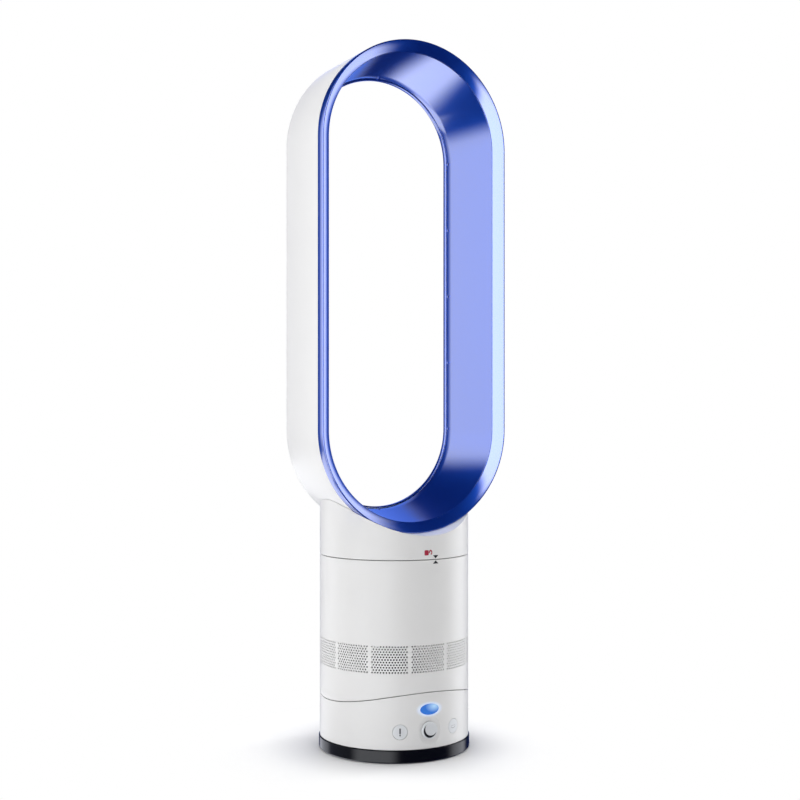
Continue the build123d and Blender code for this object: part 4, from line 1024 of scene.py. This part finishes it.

# %% [markdown]
# ## Studio
#
# A pale floor that is pure white away from the fan, so that only the soft shadow by the foot
# shows. Near the foot its colour is darker, a painted shadow. Its distances are from a point close
# to the fan's axis.


# %% Floor
def make_floor():
    """A painted shadow darkens its colour near the foot; far off it glows white for the camera."""
    material = bpy.data.materials.new("floor_white")
    material.use_nodes = True
    tree, shader = shader_of(material)
    shader.inputs["Roughness"].default_value = 0.6
    shader.inputs["Specular IOR Level"].default_value = 0.2
    glow = add_node(tree, "ShaderNodeEmission", (0, -300), {"Color": (1, 1, 1, 1)})
    coords = add_node(tree, "ShaderNodeTexCoord", (-1200, 200))
    shift = add_node(tree, "ShaderNodeVectorMath", (-1000, 200), {1: (0.004, -0.002, 0)},
                     operation="ADD")
    size = add_node(tree, "ShaderNodeVectorMath", (-800, 200), operation="LENGTH")
    far = smooth_range(tree, (-600, 200), size.outputs["Value"], 0.085, 0.19)
    # Painted shadow: the floor's colour darkens towards the foot.
    painted_shadow_fade = smooth_range(tree, (-600, 500), size.outputs["Value"], 0.06, 0.15)
    shade = add_node(tree, "ShaderNodeMix", (-300, 500),
                     {"A": (0.72, 0.72, 0.73, 1), "B": (0.96, 0.96, 0.96, 1)}, data_type="RGBA")
    rays = add_node(tree, "ShaderNodeLightPath", (-600, -200))
    seen = math_node(tree, (-300, 0), "MULTIPLY", far, rays.outputs["Is Camera Ray"])
    mix = add_node(tree, "ShaderNodeMixShader", (300, 0))
    link = tree.links.new
    link(coords.outputs["Object"], shift.inputs[0])
    link(shift.outputs[0], size.inputs[0])
    link(painted_shadow_fade, shade.inputs["Factor"])
    link(shade.outputs["Result"], shader.inputs["Base Color"])
    link(seen, mix.inputs["Fac"])
    link(shader.outputs["BSDF"], mix.inputs[1])
    link(glow.outputs["Emission"], mix.inputs[2])
    link(mix.outputs["Shader"], tree.nodes["Material Output"].inputs["Surface"])
    return material


HALF = 4
FLOOR_CORNERS = [(-HALF, -HALF, 0), (HALF, -HALF, 0), (HALF, HALF, 0), (-HALF, HALF, 0)]
floor_mesh = bpy.data.meshes.new("floor")
floor_mesh.from_pydata(FLOOR_CORNERS, [], [(0, 1, 2, 3)])
floor_mesh.materials.append(make_floor())
floor = add_object("floor", floor_mesh)
floor.visible_glossy = False
print("floor ready")

# %% [markdown]
# Glossy pieces reflect the studio, so the world shows them soft white walls. One node group makes
# a soft patch from a direction: where it is, how wide, how low and how high it reaches.


# %% Soft patch
PATCH_INPUTS = ("Middle", "Half width", "Low", "High", "Side edge", "End edge", "Strength")


def soft_step(tree, place, value, edge):
    """Rises smoothly from 0 to 1 while the value goes from minus one edge width to 0."""
    ratio = math_node(tree, place, "DIVIDE", value, edge)
    return smooth_range(tree, (place[0] + 180, place[1]), ratio, -1.0, 0.0)


def patch_group():
    tree = bpy.data.node_groups.new("soft_patch", "ShaderNodeTree")
    tree.interface.new_socket("Direction", in_out="INPUT", socket_type="NodeSocketVector")
    for name in PATCH_INPUTS:
        tree.interface.new_socket(name, in_out="INPUT", socket_type="NodeSocketFloat")
    tree.interface.new_socket("Value", in_out="OUTPUT", socket_type="NodeSocketFloat")
    enter = add_node(tree, "NodeGroupInput", (-1200, 0)).outputs
    leave = add_node(tree, "NodeGroupOutput", (1000, 0))
    turn = add_node(tree, "ShaderNodeVectorRotate", (-1000, 0), rotation_type="Z_AXIS")
    tree.links.new(enter["Direction"], turn.inputs["Vector"])
    back_turn = math_node(tree, (-1200, -300), "MULTIPLY", enter["Middle"], -math.pi / 180)
    tree.links.new(back_turn, turn.inputs["Angle"])
    split = add_node(tree, "ShaderNodeSeparateXYZ", (-800, 0))
    tree.links.new(turn.outputs["Vector"], split.inputs[0])
    front = math_node(tree, (-600, 0), "MULTIPLY", split.outputs["Y"], -1.0)
    side = math_node(tree, (-400, 0), "ARCTAN2", split.outputs["X"], front)
    side = math_node(tree, (-200, 0), "MULTIPLY", side, 180 / math.pi)
    side = math_node(tree, (-50, 0), "ABSOLUTE", side)
    rise = math_node(tree, (-400, -300), "ARCSINE", split.outputs["Z"])
    rise = math_node(tree, (-200, -300), "MULTIPLY", rise, 180 / math.pi)
    inside = math_node(tree, (100, 0), "SUBTRACT", enter["Half width"], side)
    above = math_node(tree, (100, -300), "SUBTRACT", rise, enter["Low"])
    below = math_node(tree, (100, -500), "SUBTRACT", enter["High"], rise)
    mask = soft_step(tree, (300, 0), inside, enter["Side edge"])
    for place, value in (((300, -300), above), ((300, -500), below)):
        step = soft_step(tree, place, value, enter["End edge"])
        mask = math_node(tree, (700, place[1]), "MULTIPLY", mask, step)
    total = math_node(tree, (850, 0), "MULTIPLY", mask, enter["Strength"])
    tree.links.new(total, leave.inputs["Value"])
    return tree


PATCH = patch_group()
print("node group:", PATCH.name)

# %% [markdown]
# Azimuths are in degrees from the front, positive to the right. A patch fades out over its edges.
# One patch is blue, and the dark parts of the room are deep blue, which keeps the loop's own blue
# rich where it reflects them. The camera sees pure white, and rough surfaces get an even light.

# %% World
PATCHES = (
    # middle, half width, low, high, side edge, end edge, strength
    (-58, 22, -30, 36, 20, 16, 2.75),
    (-124, 19, -2, 18, 16, 16, 1.28),
    (88, 9, -27, 28, 21, 24, 2.00),
    (181, 14, -54, -36, 22, 14, 1.85),
    (-164, 14, -26, -14, 12, 4, 1.50),
)
BLUE_PATCH = (152, 6, 0, 26, 14, 14, 1.0)
BLUE_PATCH_LIGHT = 0.5
DARKEST = 0.004
DEEP_BLUE = (0.0, 0.012, 0.11)


def add_patch(tree, direction, place, values):
    """A patch in a node tree, as the socket that gives its strength."""
    patch = add_node(tree, "ShaderNodeGroup", place, zip(PATCH_INPUTS, values), node_tree=PATCH)
    tree.links.new(direction, patch.inputs["Direction"])
    return patch.outputs[0]


def mirror_colour(tree):
    """What glossy surfaces reflect, as a colour socket."""
    direction = add_node(tree, "ShaderNodeTexCoord", (-900, -300)).outputs["Generated"]
    light = DARKEST
    for row, values in enumerate(PATCHES):
        patch = add_patch(tree, direction, (-600, -300 - 320 * row), values)
        light = math_node(tree, (-300, -300 - 320 * row), "MAXIMUM", patch, light)
    blue = add_patch(tree, direction, (-600, 100), BLUE_PATCH)
    tint = add_node(tree, "ShaderNodeMix", (-300, 100),
                    {"A": (0.94, 0.96, 1.0, 1), "B": (0.28, 0.55, 1.9, 1)}, data_type="RGBA")
    tree.links.new(blue, tint.inputs["Factor"])
    light = math_node(tree, (-300, 300), "MULTIPLY_ADD", blue, BLUE_PATCH_LIGHT, light)
    total = add_node(tree, "ShaderNodeVectorMath", (-100, 0), {2: DEEP_BLUE},
                     operation="MULTIPLY_ADD")
    tree.links.new(tint.outputs["Result"], total.inputs[0])
    tree.links.new(light, total.inputs[1])
    return total.outputs[0]


world = bpy.data.worlds.new("studio")
bpy.context.scene.world = world
world.use_nodes = True
tree = world.node_tree
back = tree.nodes["Background"]
back.inputs["Color"].default_value = (0.98, 0.98, 0.98, 1)
back.inputs["Strength"].default_value = 0.47
mirror = add_node(tree, "ShaderNodeBackground", (0, -200))
white = add_node(tree, "ShaderNodeBackground", (0, -400), {"Color": (1, 1, 1, 1)})
rays = add_node(tree, "ShaderNodeLightPath", (-200, 300))
choose = add_node(tree, "ShaderNodeMixShader", (200, 0))
choose_camera = add_node(tree, "ShaderNodeMixShader", (400, 0))
tree.links.new(mirror_colour(tree), mirror.inputs["Color"])
tree.links.new(rays.outputs["Is Glossy Ray"], choose.inputs["Fac"])
tree.links.new(back.outputs["Background"], choose.inputs[1])
tree.links.new(mirror.outputs["Background"], choose.inputs[2])
tree.links.new(rays.outputs["Is Camera Ray"], choose_camera.inputs["Fac"])
tree.links.new(choose.outputs["Shader"], choose_camera.inputs[1])
tree.links.new(white.outputs["Background"], choose_camera.inputs[2])
tree.links.new(choose_camera.outputs["Shader"], tree.nodes["World Output"].inputs["Surface"])
print("patches:", len(PATCHES) + 1)

# %% [markdown]
# Large soft lamps stand at the left, at the back left, at the right and above, so the tube's
# front right stays a little greyer than its sides. They are left out of reflections.

# %% Lamps
FAN_MIDDLE = (0, 0, 0.35)
LAMPS = (
    # name, place, target, width, height, power in watts
    ("lamp_left", (-1.9, 0.05, 0.5), FAN_MIDDLE, 1.2, 1.6, 13),
    ("lamp_back_left", (-0.9, 1.55, 0.5), FAN_MIDDLE, 1.0, 1.6, 11),
    ("lamp_right", (1.70, 0.10, 0.5), FAN_MIDDLE, 0.6, 1.6, 18),
    ("lamp_top", (0, 0, 2.2), (0, 0, 0), 1.8, 1.8, 28),
)


def soft_light(name, place, target, width, height, power):
    data = bpy.data.lights.new(name, "AREA")
    data.shape = "RECTANGLE"
    data.size, data.size_y = width, height
    data.energy = power
    light = add_object(name, data)
    light.location = place
    away = [t - p for p, t in zip(place, target)]
    turn = math.atan2(-away[0], away[1])
    tip = math.atan2(math.hypot(away[0], away[1]), -away[2])
    light.rotation_euler = (tip, 0, turn)
    light.visible_glossy = False


for lamp in LAMPS:
    soft_light(*lamp)
print("lamps:", len(LAMPS))

# %% [markdown]
# The camera stands low in front and to the left, level, with its frame shifted so that the fan
# sits where the photograph has it.

# %% Camera
camera_data = bpy.data.cameras.new("camera")
camera_data.lens = 59.4
camera_data.sensor_width = 36
camera_data.shift_x = 0.0075
camera_data.shift_y = 0.0181
camera = add_object("camera", camera_data)
camera.location = (-0.6075, -1.1719, 0.330)
camera.rotation_euler = (math.radians(90), 0, math.radians(-27.4))
bpy.context.scene.camera = camera
bpy.context.scene.view_settings.view_transform = "Standard"
print("camera ready")
